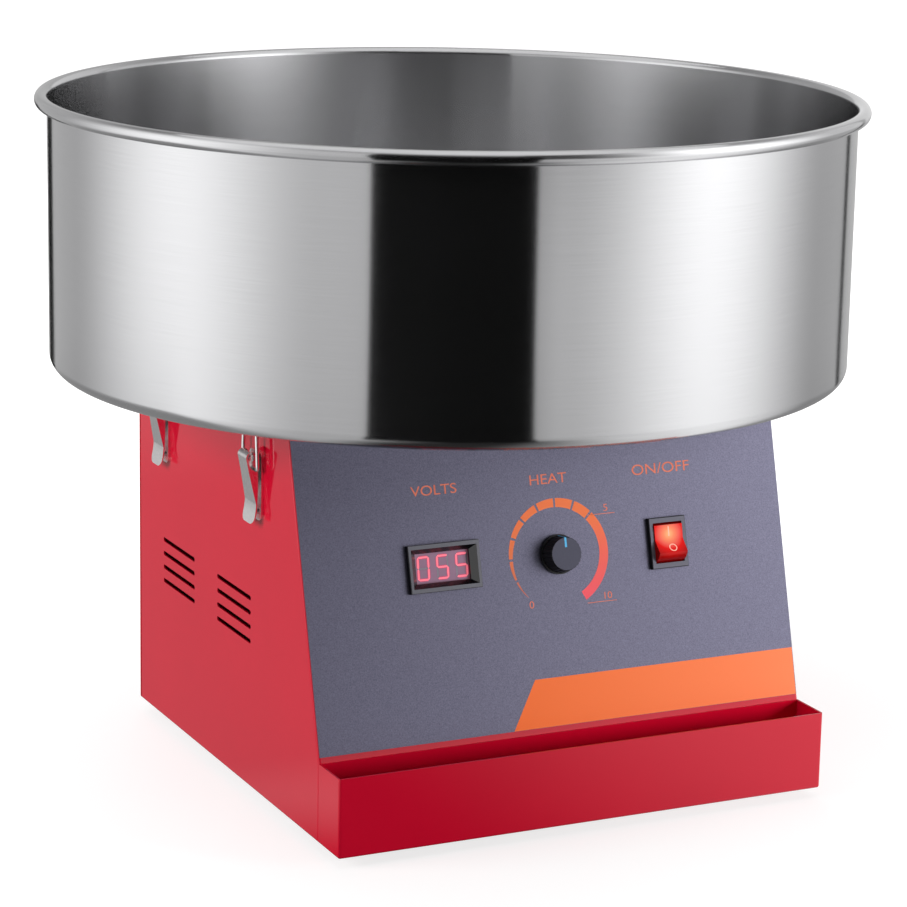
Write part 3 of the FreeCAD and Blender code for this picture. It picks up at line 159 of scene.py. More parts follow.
# Waves of the brushed steel per radian round the axis and per metre across the grooves.
GROOVE_SCALE = (5.0, 4200.0, 1.0)
BAND_SCALE = (1.2, 420.0, 1.0)


def spun_steel(name, colour, roughness):
    """Steel brushed round the vertical axis: grooves run round it on walls and on floors."""
    made = Surface(name, Metallic=1.0, Roughness=roughness, Anisotropic=1.0, Anisotropic_Rotation=0.25)
    parts = made.node("ShaderNodeSeparateXYZ", {"Vector": made.place()})
    flat = made.node("ShaderNodeCombineXYZ", {"X": parts.outputs["X"], "Y": parts.outputs["Y"]})
    radius = made.node("ShaderNodeVectorMath", {0: flat.outputs["Vector"]},
                       operation="LENGTH").outputs["Value"]
    turn = made.node("ShaderNodeMath", {0: parts.outputs["Y"], 1: parts.outputs["X"]},
                     operation="ARCTAN2").outputs["Value"]
    across = made.node("ShaderNodeMath", {0: radius, 1: parts.outputs["Z"]},
                       operation="ADD").outputs["Value"]
    lines = made.node("ShaderNodeCombineXYZ", {"X": turn, "Y": across}).outputs["Vector"]
    fine, broad = (made.node("ShaderNodeMapping", {"Vector": lines, "Scale": scale}).outputs["Vector"]
                   for scale in (GROOVE_SCALE, BAND_SCALE))
    grooves = made.noise(1.0, 4.0, 0.7, fine)
    bands = made.noise(1.0, 3.0, 0.6, broad)
    made.tint(grooves, colour, 0.04)
    made.vary(bands, roughness - 0.01, roughness + 0.02, "Roughness")
    made.bump(grooves, 0.002 * MM, 0.5)
    tangent = made.node("ShaderNodeTangent", direction_type="RADIAL", axis="Z").outputs["Tangent"]
    made.link(tangent, "Tangent")
    return made.material


def metal(name, colour, roughness, grain=300.0, wear=0.04):
    """Plated or turned metal with a fine grain."""
    made = Surface(name, Metallic=1.0, Roughness=roughness)
    grain_noise = made.noise(grain, 4.0)
    made.tint(grain_noise, colour, wear)
    made.vary(grain_noise, roughness * 0.8, roughness * 1.25, "Roughness")
    made.bump(grain_noise, 0.004 * MM, 0.4)
    return made.material


def moulded(name, colour, roughness):
    """Moulded plastic or rubber with a fine texture."""
    made = Surface(name, Roughness=roughness)
    texture = made.noise(1500.0, 3.0)
    made.tint(texture, colour, 0.06)
    made.bump(texture, 0.006 * MM, 0.6)
    return made.material


def film():
    """Grey printed sheet with a fine speckle and a soft sheen."""
    made = Surface("panel_film", Roughness=0.36, Metallic=0.85)
    speckle = made.noise(SHEET_GRAIN, 2.0, 0.6)
    made.link(made.ramp(speckle, [(0.3, srgb(98, 97, 116)), (0.7, srgb(124, 122, 142))]), "Base Color")
    made.bump(speckle, 0.01 * MM, 0.5)
    return made.material


FACING = (0.93, 0.98)        # cosines to the panel's direction between which a face turns paler: a painted highlight on the outer face, painted shade on the sides


# face is the painted lit colour of the outer face, sides the painted shade colour of the rest.
def painted_lit_face_plastic(name, face, sides, roughness, above=0.0, **settings):
    """Moulded plastic with painted light: its outer face, above a height over the panel, is painted paler as
    if lit, and the rest darker as painted shade.
    """
    made = Surface(name, Roughness=roughness, **settings)
    texture = made.noise(900.0, 3.0)
    place = made.node("ShaderNodeTexCoord").outputs
    ahead = made.node("ShaderNodeVectorMath", {0: place["Normal"], 1: panel_out}, operation="DOT_PRODUCT")
    inputs = {"Value": ahead.outputs["Value"], "From Min": FACING[0], "From Max": FACING[1]}
    front = made.node("ShaderNodeMapRange", inputs).outputs["Result"]
    from_panel = made.node("ShaderNodeVectorMath", {0: place["Object"], 1: panel_origin},
                           operation="SUBTRACT").outputs["Vector"]
    height = made.node("ShaderNodeVectorMath", {0: from_panel, 1: panel_out}, operation="DOT_PRODUCT")
    high = made.node("ShaderNodeMath", {0: height.outputs["Value"], 1: above}, operation="GREATER_THAN")
    share = made.node("ShaderNodeMath", {0: front, 1: high.outputs["Value"]}, operation="MULTIPLY")
    # Painted highlight and painted shade: faces turned to the panel and above the height take the paler face
    # colour, the rest keeps the dark sides colour.
    pale = made.ramp(texture, [(0.3, tuple(c * 0.92 for c in face)), (0.7, face)])
    mixed = made.node("ShaderNodeMix", {0: share.outputs["Value"], 6: sides, 7: pale}, data_type="RGBA")
    made.link(mixed.outputs[2], "Base Color")
    made.bump(texture, 0.01 * MM, 0.5)
    return made.material


def reach_from_panel(node):
    """Height of a node's outermost point over the steel panel."""
    mesh = frame["nodes"][node].data
    return max((v.co - panel_origin).dot(panel_out) for v in mesh.vertices)


def ink_grain(made):
    """The sheet's texture as it shows in the ink."""
    made.bump(made.noise(SHEET_GRAIN, 2.0, 0.6), 0.006 * MM, 0.4)


def printed(name, colour):
    """Ink on the sheet."""
    made = Surface(name, Roughness=INK_ROUGHNESS)
    made.tint(made.noise(SHEET_GRAIN, 2.0), colour, 0.05)
    ink_grain(made)
    return made.material


def glowing(name, colour, strength, base):
    """Plastic lit from behind."""
    made = Surface(name, Roughness=0.3, Emission_Strength=strength)
    made.shader.inputs["Emission Color"].default_value = colour
    made.tint(made.noise(900.0, 2.0), base, 0.05)
    return made.material


RED = srgb(205, 9, 44)
paint = painted("red_paint", RED)
bowl_steel = spun_steel("spun_steel", (0.57, 0.57, 0.58, 1), 0.15)
plated = metal("nickel_plate", (0.86, 0.84, 0.84, 1), 0.24, 500.0)
bright = metal("bright_zinc", (0.72, 0.72, 0.73, 1), 0.25)
zinc = metal("zinc_sheet", (0.55, 0.56, 0.56, 1), 0.38, 120.0, 0.12)
aluminium = metal("turned_aluminium", (0.72, 0.72, 0.73, 1), 0.3, 400.0)
laminate = metal("lamination", (0.30, 0.29, 0.28, 1), 0.5)
heater = metal("heat_scaled_steel", (0.25, 0.22, 0.20, 1), 0.55, 200.0, 0.3)
brass = metal("brass", (0.75, 0.55, 0.25, 1), 0.3)
rubber = moulded("rubber", srgb(28, 28, 28), 0.7)
black = moulded("black_plastic", srgb(14, 14, 17), 0.3)
# Meter case, switch frame and knob: outer face painted paler as if lit, sides painted dark as shade.
meter_plastic_painted_light = painted_lit_face_plastic("meter_plastic_painted_light", srgb(92, 92, 102), srgb(8, 8, 12), 0.22, Specular_IOR_Level=1.0)
switch_plastic_painted_light = painted_lit_face_plastic("switch_plastic_painted_light", srgb(104, 104, 116), srgb(10, 10, 13), 0.45)
brown = moulded("insulator", srgb(92, 58, 40), 0.45)
carbon = moulded("carbon", srgb(38, 38, 40), 0.6)
board = moulded("circuit_board", srgb(20, 88, 52), 0.4)
knob_plastic = painted_lit_face_plastic("knob_plastic", srgb(70, 70, 86), srgb(10, 10, 15), 0.45,
                     reach_from_panel("knob") - 1.0 * MM)
pointer_ink = printed("pointer_blue", srgb(96, 190, 240))
motor_black = moulded("motor_enamel", srgb(32, 32, 36), 0.35)
panel_film = film()
label_ink = printed("label_ink", srgb(228, 122, 94))

NODE_SURFACES = {
    "housing_shell": paint, "top_plate": paint, "rear_panel": paint, "front_tray": paint,
    "base_plate": zinc, "housing_screws": bright, "rubber_feet": rubber, "bowl": bowl_steel,
    "bowl_strikes": plated, "latch_rivets": bright, "bowl_gasket": rubber,
    "centre_collar": aluminium, "latch_bases": plated, "latch_pins": bright,
    "motor_case": motor_black, "motor_bells": aluminium, "motor_bearings": bright,
    "motor_stator": laminate, "motor_plate": zinc, "motor_pillars": zinc,
    "motor_dampers": rubber, "motor_screws": bright, "brush_holder": brown,
    "carbon_brushes": carbon, "brush_springs": brass, "panel_overlay": panel_film,
    "voltmeter_case": meter_plastic_painted_light, "voltmeter_board": board, "potentiometer": zinc,
    "potentiometer_nut": bright, "switch_frame": switch_plastic_painted_light, "power_board": board,
    "heat_sink": aluminium, "cord_gland": black, "gland_nut": black, "spindle": bright,
    "motor_armature": laminate, "cooling_fan": brown, "ring_hub": brown, "slip_rings": brass,
    "head_base": aluminium, "heating_element": heater, "head_band": bowl_steel,
    "head_lid": aluminium, "head_nut": bright, "head_screws": bright, "knob": knob_plastic,
    "knob_pointer": pointer_ink, "knob_shaft": zinc,
}
for number in range(1, 5):
    NODE_SURFACES["latch_lever_%d" % number] = plated
    NODE_SURFACES["latch_bail_%d" % number] = plated


# ---------------------------------------------------------------- mesh helpers
def add_piece(name, mesh, material, body, matrix=None):
    """Object from a mesh, riding on a body, in a material slot."""
    piece = bpy.data.objects.new(name, mesh)
    bpy.context.scene.collection.objects.link(piece)
    if matrix is not None:
        piece.matrix_world = matrix
    mesh.materials.append(material)
    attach(piece, body)
    return piece


def mesh_from(bm, name, smooth_below=0.0):
    """Mesh of a bmesh; edges flatter than the angle are smooth."""
    bmesh.ops.recalc_face_normals(bm, faces=bm.faces)
    for face in bm.faces:
        face.smooth = smooth_below > 0
    for edge in bm.edges:
        edge.smooth = len(edge.link_faces) == 2 and edge.calc_face_angle(math.pi) < smooth_below
    mesh = bpy.data.meshes.new(name)
    bm.to_mesh(mesh)
    bm.free()
    return mesh


def slab(bm, outline, low, high):
    """Closed flat piece from an outline of (x, y) points in the panel's frame."""
    bottom = [bm.verts.new((x, y, low)) for x, y in outline]
    top = [bm.verts.new((x, y, high)) for x, y in outline]
    bm.faces.new(bottom)
    bm.faces.new(top)
    for k in range(len(outline)):
        n = (k + 1) % len(outline)
        bm.faces.new((bottom[k], bottom[n], top[n], top[k]))


def lathe(name, outline, segments, smooth_below):
    """Closed surface of revolution about Z from a closed outline of (radius, height) points."""
    bm = bmesh.new()
    rings = []
    for k in range(segments):
        a = 2 * math.pi * k / segments
        rings.append([bm.verts.new((r * math.cos(a), r * math.sin(a), z)) for r, z in outline])
    count = len(outline)
    for k in range(segments):
        here, there = rings[k], rings[(k + 1) % segments]
        for i in range(count):
            j = (i + 1) % count
            bm.faces.new((here[i], there[i], there[j], here[j]))
    return mesh_from(bm, name, smooth_below)


def arc_points(centre_r, centre_z, radius, start, end, steps):
    """Points on an arc from one angle to another, in degrees."""
    points = []
    for k in range(steps + 1):
        a = math.radians(start + (end - start) * k / steps)
        points.append((centre_r + radius * math.cos(a), centre_z + radius * math.sin(a)))
    return points


# ---------------------------------------------------------------- bowl
def make_bowl():
    """The spun bowl as one smooth lathed skin with its rolled rim."""
    wall = 0.8 * MM
    bead = 4.25 * MM
    corner = 8.5 * MM
    hole = 40.0 * MM
    lip = 5.0 * MM
    segments = 512
    sharp = math.radians(40)
    inner = bowl_high.x - 2 * bead
    outer = inner + wall
    low, top = bowl_low.z, bowl_high.z
    bead_r, bead_z = inner + bead, top - bead
    corner_r, corner_z = outer - corner, low + corner
    outline = []
    outline += arc_points(corner_r, corner_z, corner - wall, -90, 0, 10)
    outline += arc_points(bead_r, bead_z, bead, 180, -150, 40)
    outline += arc_points(bead_r, bead_z, bead - wall, -150, 180, 36)
    outline += arc_points(corner_r, corner_z, corner, 0, -90, 10)
    outline += [(hole, low), (hole, low + lip), (hole + wall, low + lip), (hole + wall, low + wall)]
    mesh = lathe("bowl_skin", outline, segments, sharp)
    piece = add_piece("bowl_skin", mesh, bowl_steel, BODY)
    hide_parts("bowl")


# ---------------------------------------------------------------- print on the panel
def panel_piece(name, outlines, material, low=overlay_top, thickness=ink):
    """Thin piece on the panel from outlines of (x, y) points in the panel's frame."""
    bm = bmesh.new()
    for outline in outlines:
        slab(bm, outline, low, low + thickness)
    add_piece(name, mesh_from(bm, name), material, BODY, panel_matrix)


def dial_ink():
    """Ink of the dial: orange that turns pink towards the hot end and dull towards the cold end."""
    made = Surface("dial_ink", Roughness=INK_ROUGHNESS)
    parts = made.node("ShaderNodeSeparateXYZ", {"Vector": made.place()})
    high, low = 22 * MM, -28 * MM
    inputs = {"Value": parts.outputs["Y"], "From Min": high, "From Max": low}
    factor = made.node("ShaderNodeMapRange", inputs).outputs["Result"]
    top = srgb(248, 126, 74)
    hot = made.ramp(factor, [(0.0, top), (0.45, srgb(250, 108, 90)), (1.0, srgb(250, 92, 106))])
    cold = made.ramp(factor, [(0.0, top), (0.45, srgb(238, 124, 80)), (1.0, srgb(190, 108, 92))])
    right = made.node("ShaderNodeMath", {0: parts.outputs["X"], 1: dial_x}, operation="GREATER_THAN")
    colour = made.node("ShaderNodeMix", {0: right.outputs["Value"], 6: cold, 7: hot},
                       data_type="RGBA").outputs[2]
    made.link(colour, "Base Color")
    ink_grain(made)
    return made.material


def make_dial():
    """Ring of segments that grow thicker from the off end, then one long working segment."""
    outer = 33.6 * MM
    thickest, thinnest = 5.8 * MM, 0.15 * MM
    growth = 1.7             # power of the thickness's rise
    first = -138.0           # degrees clockwise from the top
    step = 23.0
    count = 8
    last = 152.0
    gap = 1.5 * MM
    centre = (dial_x, 0.3 * MM)
    join = first + step * count

    def thickness(angle):
        share = max((join - angle) / (join - first), 0.0)
        return thickest * (1 - share ** growth) + thinnest

    def at(radius, angle):
        a = math.radians(angle)
        return (centre[0] + radius * math.sin(a), centre[1] + radius * math.cos(a))

    def segment(start, end):
        steps = max(4, int((end - start) / 3))
        angles = [start + (end - start) * k / steps for k in range(steps + 1)]
        outside = [at(outer, angle) for angle in angles]
        inside = [at(outer - thickness(angle), angle) for angle in reversed(angles)]
        return outside + inside

    half_gap = math.degrees(gap / outer) / 2
    outlines = [segment(first + step * k + half_gap, first + step * (k + 1) - half_gap)
                for k in range(count)]
    outlines.append(segment(join + half_gap, last))
    panel_piece("dial_ring", outlines, dial_ink())


def make_text(name, words, centre_x, centre_y, width, height):
    """Flat lettering on the panel, scaled to a width and height."""
    curve = bpy.data.curves.new(name, "FONT")
    curve.body = words
    curve.align_x = "CENTER"
    curve.align_y = "CENTER"
    curve.extrude = ink / 2
    holder = bpy.data.objects.new(name + "_source", curve)
    bpy.context.scene.collection.objects.link(holder)
    bpy.context.view_layer.update()
    mesh = bpy.data.meshes.new_from_object(holder.evaluated_get(bpy.context.evaluated_depsgraph_get()))
    bpy.data.objects.remove(holder)
    xs = [v.co.x for v in mesh.vertices]
    ys = [v.co.y for v in mesh.vertices]
    scale_x = width / (max(xs) - min(xs))
    scale_y = height / (max(ys) - min(ys))
    mesh.transform(Matrix.Translation((-(max(xs) + min(xs)) / 2, -(max(ys) + min(ys)) / 2, 0)))
    mesh.transform(Matrix.Diagonal((scale_x, scale_y, 1, 1)))
    mesh.transform(Matrix.Translation((centre_x, centre_y, overlay_top + ink / 2)))
    mesh.materials.clear()
    add_piece(name, mesh, label_ink, BODY, panel_matrix)


# Generic lettering: what each control is, and numbers round the dial. Piece, words, then the middle
# across and up, the width and the height in millimetres, in the panel's frame.
LABELS = (
    ("label_volts", "VOLTS", -73.5, 46.0, 30.0, 6.0),
    ("label_heat", "HEAT", 3.0, 46.0, 25.0, 6.0),
    ("label_on_off", "ON/OFF", 80.5, 46.0, 40.0, 6.4),
    ("dial_zero", "0", -15.7, -28.7, 3.0, 4.4),
    ("dial_five", "5", 40.0, 25.2, 2.8, 4.2),
    ("dial_ten", "10", 36.5, -28.0, 5.2, 4.2),
)
# Thin rules under two of the numbers: from, to and height in millimetres.
RULES = ((27.0, 46.0, 21.6), (22.0, 42.0, -31.5))


def make_labels():
    """The lettering and the rules of the panel."""
    for name, words, *sizes in LABELS:
        make_text(name, words, *(size * MM for size in sizes))
    half = 0.2 * MM
    outlines = []
    for start, end, up in RULES:
        x0, x1, y = start * MM, end * MM, up * MM
        outlines.append([(x0, y - half), (x1, y - half), (x1, y + half), (x0, y + half)])
    panel_piece("dial_rules", outlines, label_ink)


def make_banner():
    """Plain orange band with a slanted end, at the lower right of the panel."""
    start, edge = -35.1 * MM, 161.6 * MM
    slant_end = -18.2 * MM
    low, high = 3.6 * MM - control_row, 32.8 * MM - control_row
    outline = [(start, low), (edge, low), (edge, high), (slant_end, high)]
    made = Surface("banner_ink", Roughness=INK_ROUGHNESS)
    parts = made.node("ShaderNodeSeparateXYZ", {"Vector": made.place()})
    inputs = {"Value": parts.outputs["X"], "From Min": start, "From Max": edge}
    across = made.node("ShaderNodeMapRange", inputs).outputs["Result"]
    made.link(made.ramp(across, [(0.0, srgb(255, 119, 54)), (1.0, srgb(255, 133, 83))]), "Base Color")
    ink_grain(made)
    panel_piece("banner", [outline], made.material)


# ---------------------------------------------------------------- voltmeter
def make_digits():
    """Three seven-segment digits behind the meter's window."""
    lit = glowing("lit_segment", srgb(250, 120, 138), 0.66, srgb(240, 112, 128))
    halo = glowing("segment_halo", srgb(200, 62, 96), 0.5, srgb(150, 80, 105))
    unlit = printed("unlit_segment", srgb(140, 134, 146))
    height, width = 13.4 * MM, 6.8 * MM
    stroke = 0.95 * MM
    spread = 2.0 * MM
    shift = 0.65 * MM
    pitch = 12.6 * MM
    slant = 0.03
    face = reach_from_panel("voltmeter_window")
    segments = {
        "a": ((0, 1), (1, 1)), "b": ((1, 1), (1, 0.5)), "c": ((1, 0.5), (1, 0)), "d": ((0, 0), (1, 0)),
        "e": ((0, 0.5), (0, 0)), "f": ((0, 1), (0, 0.5)), "g": ((0, 0.5), (1, 0.5)),
    }
    shapes = {"0": "abcdef", "5": "acdfg"}
    outlines = {True: [], False: []}
    halos = []
    for place, digit in enumerate("055"):
        left = meter_x + shift + (place - 1) * pitch - width / 2
        for key, (start, end) in segments.items():
            shown = key in shapes[digit]
            outlines[shown].append(bar(left, start, end, width, height, stroke, slant))
            if shown:
                halos.append(bar(left, start, end, width, height, spread, slant))
    panel_piece("digits_unlit", outlines[False], unlit, face, ink / 4)
    panel_piece("digits_halo", halos, halo, face, ink / 2)
    panel_piece("digits_lit", outlines[True], lit, face, ink)


def bar(left, start, end, width, height, stroke, slant):
    """Six-sided bar of a digit between two of its corners."""
    half = stroke / 2
    inset = 0.05 * MM
    x0, y0 = start[0] * width, (start[1] - 0.5) * height
    x1, y1 = end[0] * width, (end[1] - 0.5) * height
    length = math.hypot(x1 - x0, y1 - y0)
    dx, dy = (x1 - x0) / length, (y1 - y0) / length
    points = []
    for along, side in ((inset, 0), (inset + half, 1), (length - inset - half, 1), (length - inset, 0),
                        (length - inset - half, -1), (inset + half, -1)):
        x = x0 + dx * along - dy * side * half
        y = y0 + dy * along + dx * side * half
        points.append((left + x + slant * y, y))
    return points


def window_surface():
    """Tinted meter window over a lit display."""
    made = Surface("meter_window", Roughness=0.25, Emission_Strength=0.06)
    made.shader.inputs["Emission Color"].default_value = srgb(255, 150, 175)
    made.tint(made.noise(160.0, 2.0), srgb(140, 116, 140), 0.05)
    return made.material


# ---------------------------------------------------------------- rocker
# Corners of the rocker at rest in the panel's frame, as (up, out): pressed tip, valley, raised tip.
# The lamp's place is given the same way.
ROCKER_TOP = (10.83 * MM, 4.53 * MM)
ROCKER_VALLEY = (1.66 * MM, 4.28 * MM)
ROCKER_LOW = (-6.17 * MM, 9.09 * MM)
ROCKER_LAMP = (5.2 * MM, 4.4 * MM)
LAMP_REACH = 16 * MM
ROCKER_FACING = (0.45, 0.84)  # cosines to the panel's direction between which a face takes the glow


def rocker_surface():
    """Red plastic with a lamp behind its upper face."""
    made = Surface("lit_rocker", Roughness=0.25, Specular_IOR_Level=0.2, Emission_Strength=1.0)
    place = made.node("ShaderNodeTexCoord")
    lamp = panel_matrix @ Vector((switch_x, *ROCKER_LAMP))
    away = made.node("ShaderNodeVectorMath", {0: place.outputs["Object"], 1: lamp}, operation="DISTANCE")
    inputs = {"Value": away.outputs["Value"], "From Min": 0.0, "From Max": LAMP_REACH}
    factor = made.node("ShaderNodeMapRange", inputs).outputs["Result"]
    glow = made.ramp(factor, [(0.0, srgb(248, 190, 130)), (0.22, srgb(238, 142, 100)),
                              (0.45, srgb(228, 92, 80)), (0.62, srgb(212, 12, 8)), (1.0, srgb(130, 0, 0))])
    ahead = made.node("ShaderNodeVectorMath", {0: place.outputs["Normal"], 1: panel_out},
                      operation="DOT_PRODUCT")
    inputs = {"Value": ahead.outputs["Value"], "From Min": ROCKER_FACING[0], "From Max": ROCKER_FACING[1]}
    front = made.node("ShaderNodeMapRange", inputs).outputs["Result"]
    inputs = {0: front, 6: srgb(60, 0, 0), 7: glow}
    colour = made.node("ShaderNodeMix", inputs, data_type="RGBA").outputs[2]
    made.link(colour, "Emission Color")
    made.tint(made.noise(500.0, 2.0), srgb(105, 3, 3), 0.04)
    return made.material


def face_matrix(start, end, share, x):
    """Frame on a rocker face: X across, Y from one corner to the other, Z outwards."""
    along = Vector((0, end[0] - start[0], end[1] - start[1])).normalized()
    out = Vector((1, 0, 0)).cross(along)
    up, rise = (start[k] + (end[k] - start[k]) * share for k in range(2))
    local = Matrix((
        (1, along.x, out.x, switch_x + x), (0, along.y, out.y, up), (0, along.z, out.z, rise), (0, 0, 0, 1),
    ))
    return panel_matrix @ local


def make_rocker_marks():
    """Pale I and O on the rocker's faces."""
    pale = glowing("rocker_mark", srgb(255, 190, 165), 0.35, srgb(250, 180, 160))
    half, reach = 0.35 * MM, 3.0 * MM
    on_share = 0.57          # places of the marks along their faces
    bm = bmesh.new()
    slab(bm, [(-half, -reach), (half, -reach), (half, reach), (-half, reach)], 0.0, ink)
    matrix = face_matrix(ROCKER_VALLEY, ROCKER_TOP, on_share, 0.0)
    add_piece("rocker_on_mark", mesh_from(bm, "rocker_on_mark"), pale, "rocker", matrix)
    outer, inner = 2.65 * MM, 2.0 * MM
    off_share, off_across = 0.37, 0.75 * MM
    outline = [(outer, 0.0), (outer, ink), (inner, ink), (inner, 0.0)]
    mesh = lathe("rocker_off_mark", outline, 40, 0.0)
    matrix = face_matrix(ROCKER_LOW, ROCKER_VALLEY, off_share, off_across)
    add_piece("rocker_off_mark", mesh, pale, "rocker", matrix)


# ---------------------------------------------------------------- studio
CAMERA_PLACE = Vector((-0.86748, -1.80701, 0.66841))
CAMERA_TURN = 0.44983        # radians, from +Y towards +X
CAMERA_DIP = 0.23544         # radians below the horizon
CAMERA_ROLL = 0.01903
FOCAL_PIXELS = 3211.16
IMAGE_WIDTH = 907
SENSOR_WIDTH = 36.0


def make_camera():
    """Camera at the photograph's place, turn and focal length."""
    camera = bpy.data.cameras.new("camera")
    camera.sensor_width = SENSOR_WIDTH
    camera.lens = FOCAL_PIXELS / IMAGE_WIDTH * SENSOR_WIDTH
    camera.clip_start = 0.05
    holder = bpy.data.objects.new("camera", camera)
    bpy.context.scene.collection.objects.link(holder)
    ahead = Vector((math.sin(CAMERA_TURN) * math.cos(CAMERA_DIP),
                    math.cos(CAMERA_TURN) * math.cos(CAMERA_DIP), -math.sin(CAMERA_DIP)))
    level = Vector((math.cos(CAMERA_TURN), -math.sin(CAMERA_TURN), 0))
    above = level.cross(ahead)
    right = level * math.cos(CAMERA_ROLL) + above * math.sin(CAMERA_ROLL)
    up = above * math.cos(CAMERA_ROLL) - level * math.sin(CAMERA_ROLL)
    turn = Matrix((right, up, -ahead)).transposed()
    holder.matrix_world = Matrix.Translation(CAMERA_PLACE) @ turn.to_4x4()
    bpy.context.scene.camera = holder


def stage_object(name, mesh, material):
    """Object of the studio, which isn't part of the machine."""
    holder = bpy.data.objects.new(name, mesh)
    bpy.context.scene.collection.objects.link(holder)
    mesh.materials.append(material)
    return holder


def seen(tree):
    """1 for rays from the camera and for mirrored and transmitted rays, else 0."""
    paths = tree.nodes.new("ShaderNodeLightPath")
    total = paths.outputs["Is Camera Ray"]
    for name in ("Is Glossy Ray", "Is Transmission Ray"):
        most = tree.nodes.new("ShaderNodeMath")
        most.operation = "MAXIMUM"
        tree.links.new(total, most.inputs[0])
        tree.links.new(paths.outputs[name], most.inputs[1])
        total = most.outputs["Value"]
    return total


def eased(made, value, start, end, low=0.0, high=1.0):
    """Value eased from one level to another between two limits."""
    inputs = {"Value": value, "From Min": start, "From Max": end, "To Min": low, "To Max": high}
    return made.node("ShaderNodeMapRange", inputs, interpolation_type="SMOOTHSTEP").outputs["Result"]


def make_floor():
    """Pale floor that keeps a soft shadow near the object and is white to the camera beyond it."""
    mesh = bpy.data.meshes.new("floor")
    reach = 30.0
    mesh.from_pydata([(-reach, -reach, 0), (reach, -reach, 0), (reach, reach, 0), (-reach, reach, 0)],
                     [], [(0, 1, 2, 3)])
    grey = 0.35
    near, far, near_light = 0.25, 0.75, 0.74
    made = Surface("floor", Roughness=0.9)
    made.tint(made.noise(3.0, 2.0), (grey, grey, grey, 1), 0.01)
    away = made.node("ShaderNodeVectorMath", {0: made.place()}, operation="LENGTH").outputs["Value"]
    lift = eased(made, away, near, far, near_light, 1.0)
    strength = made.node("ShaderNodeMath", {0: lift, 1: seen(made.tree)}, operation="MULTIPLY")
    made.shader.inputs["Emission Color"].default_value = (1, 1, 1, 1)
    made.link(strength.outputs["Value"], "Emission Strength")
    stage_object("floor", mesh, made.material)


def mirrored_only(holder):
    """Let only reflections see an object of the studio."""
    holder.visible_camera = False
    holder.visible_diffuse = False
    holder.visible_shadow = False
    holder.visible_transmission = False
    holder.visible_volume_scatter = False


def glow_only(made, colour, strength):
    """Replace a surface's shader by plain emission."""
    glow = made.node("ShaderNodeEmission", {"Color": colour, "Strength": strength})
    made.tree.links.new(glow.outputs["Emission"], made.tree.nodes["Material Output"].inputs["Surface"])


STUDIO_RADIUS = 1.15
STUDIO_HEIGHT = 1.7
STUDIO_STEPS = 192           # flat pieces round the wall and the table
# Light of the round wall at angles from the camera's side, positive to the right: two broad light
# screens at the sides and a dimmer back.
STUDIO_PEAK = 1.7
STUDIO_LEVELS = (
    (-180, 0.53), (-121, 0.55), (-72, 1.57), (-31, 0.76), (-19, 0.73), (21, 0.66), (28, 0.80),
    (68.5, 1.65), (116, 0.52), (180, 0.53),
)
# The wall dims upwards between two heights, to a share of its light.
WALL_DIMS = (0.8, 1.5)
WALL_TOP_SHARE = 0.55
# Above the bowl's foot, from one height to another, the wall takes another shape, which the panel's
# sheen mirrors: its light ends between two angles and comes back between two others, further to
# the right, where its share runs from low to high.
SHAPED_FROM = (0.24, 0.38)
SHAPED_END = (0, 22)
SHAPED_START = (26, 74)
SHAPED_LIGHT = (0.1, 1.55)
# Dark gaps between the screens, from and to the same angles, with the radius where they start on the
# table and the heights between which they ease to the light of a dim screen: one behind the camera
# and two at the back.
STUDIO_GAPS = (
    (-19.2, 21.2, 0.5, 0.9, 1.6), (-152.5, -142.5, 1.0, 0.26, 0.36), (135.0, 139.2, 1.0, 0.26, 0.36),
)
GAP_LIGHT = 0.004
GAP_TOP = 0.5
# Light of the table as a share of the wall's, and light of its shaded part. That part begins behind
# a place along Y and beyond a line slanted by a share of X, and ends between two radii.
TABLE_SHARE = 0.8
TABLE_SHADE = 0.32
SHADE_BACK = (-0.2, 0.0)
SHADE_SLANT = 0.6
SHADE_LINE = (-0.46, -0.30)
SHADE_EDGE = (0.75, 1.05)
# Shaded pool on the table before the tray: its middle, the radii between which it ends, and the
# places along X between which its light runs from low to high.
POOL_CENTRE = (-0.02, -0.34, 0)
POOL_EDGE = (0.2, 0.32)
POOL_ACROSS = (-0.10, 0.22)
POOL_LIGHT = (0.03, 1.1)
# Heights that keep the studio's sheets clear of the floor, of each other and of the wall.
TABLE_LIFT = 0.0005
GAP_LIFT = 0.001
GAP_INSET = 0.002


def studio_point(degrees, radius, height):
    """Point of the studio at an angle from the camera's side."""
    angle = math.radians(degrees) - CAMERA_TURN
    return (radius * math.sin(angle), -radius * math.cos(angle), height)


def studio_sheet(name, start, end, rows, material, steps=96):
    """Sheet of the studio between two angles, through rows of (radius, height)."""
    bm = bmesh.new()
    lines = []
    for k in range(steps + 1):
        angle = start + (end - start) * k / steps
        lines.append([bm.verts.new(studio_point(angle, radius, height)) for radius, height in rows])
    for here, there in zip(lines, lines[1:]):
        for i in range(len(rows) - 1):
            bm.faces.new((here[i], there[i], there[i + 1], here[i + 1]))
    mesh = bpy.data.meshes.new(name)
    bm.to_mesh(mesh)
    bm.free()
    mirrored_only(stage_object(name, mesh, material))


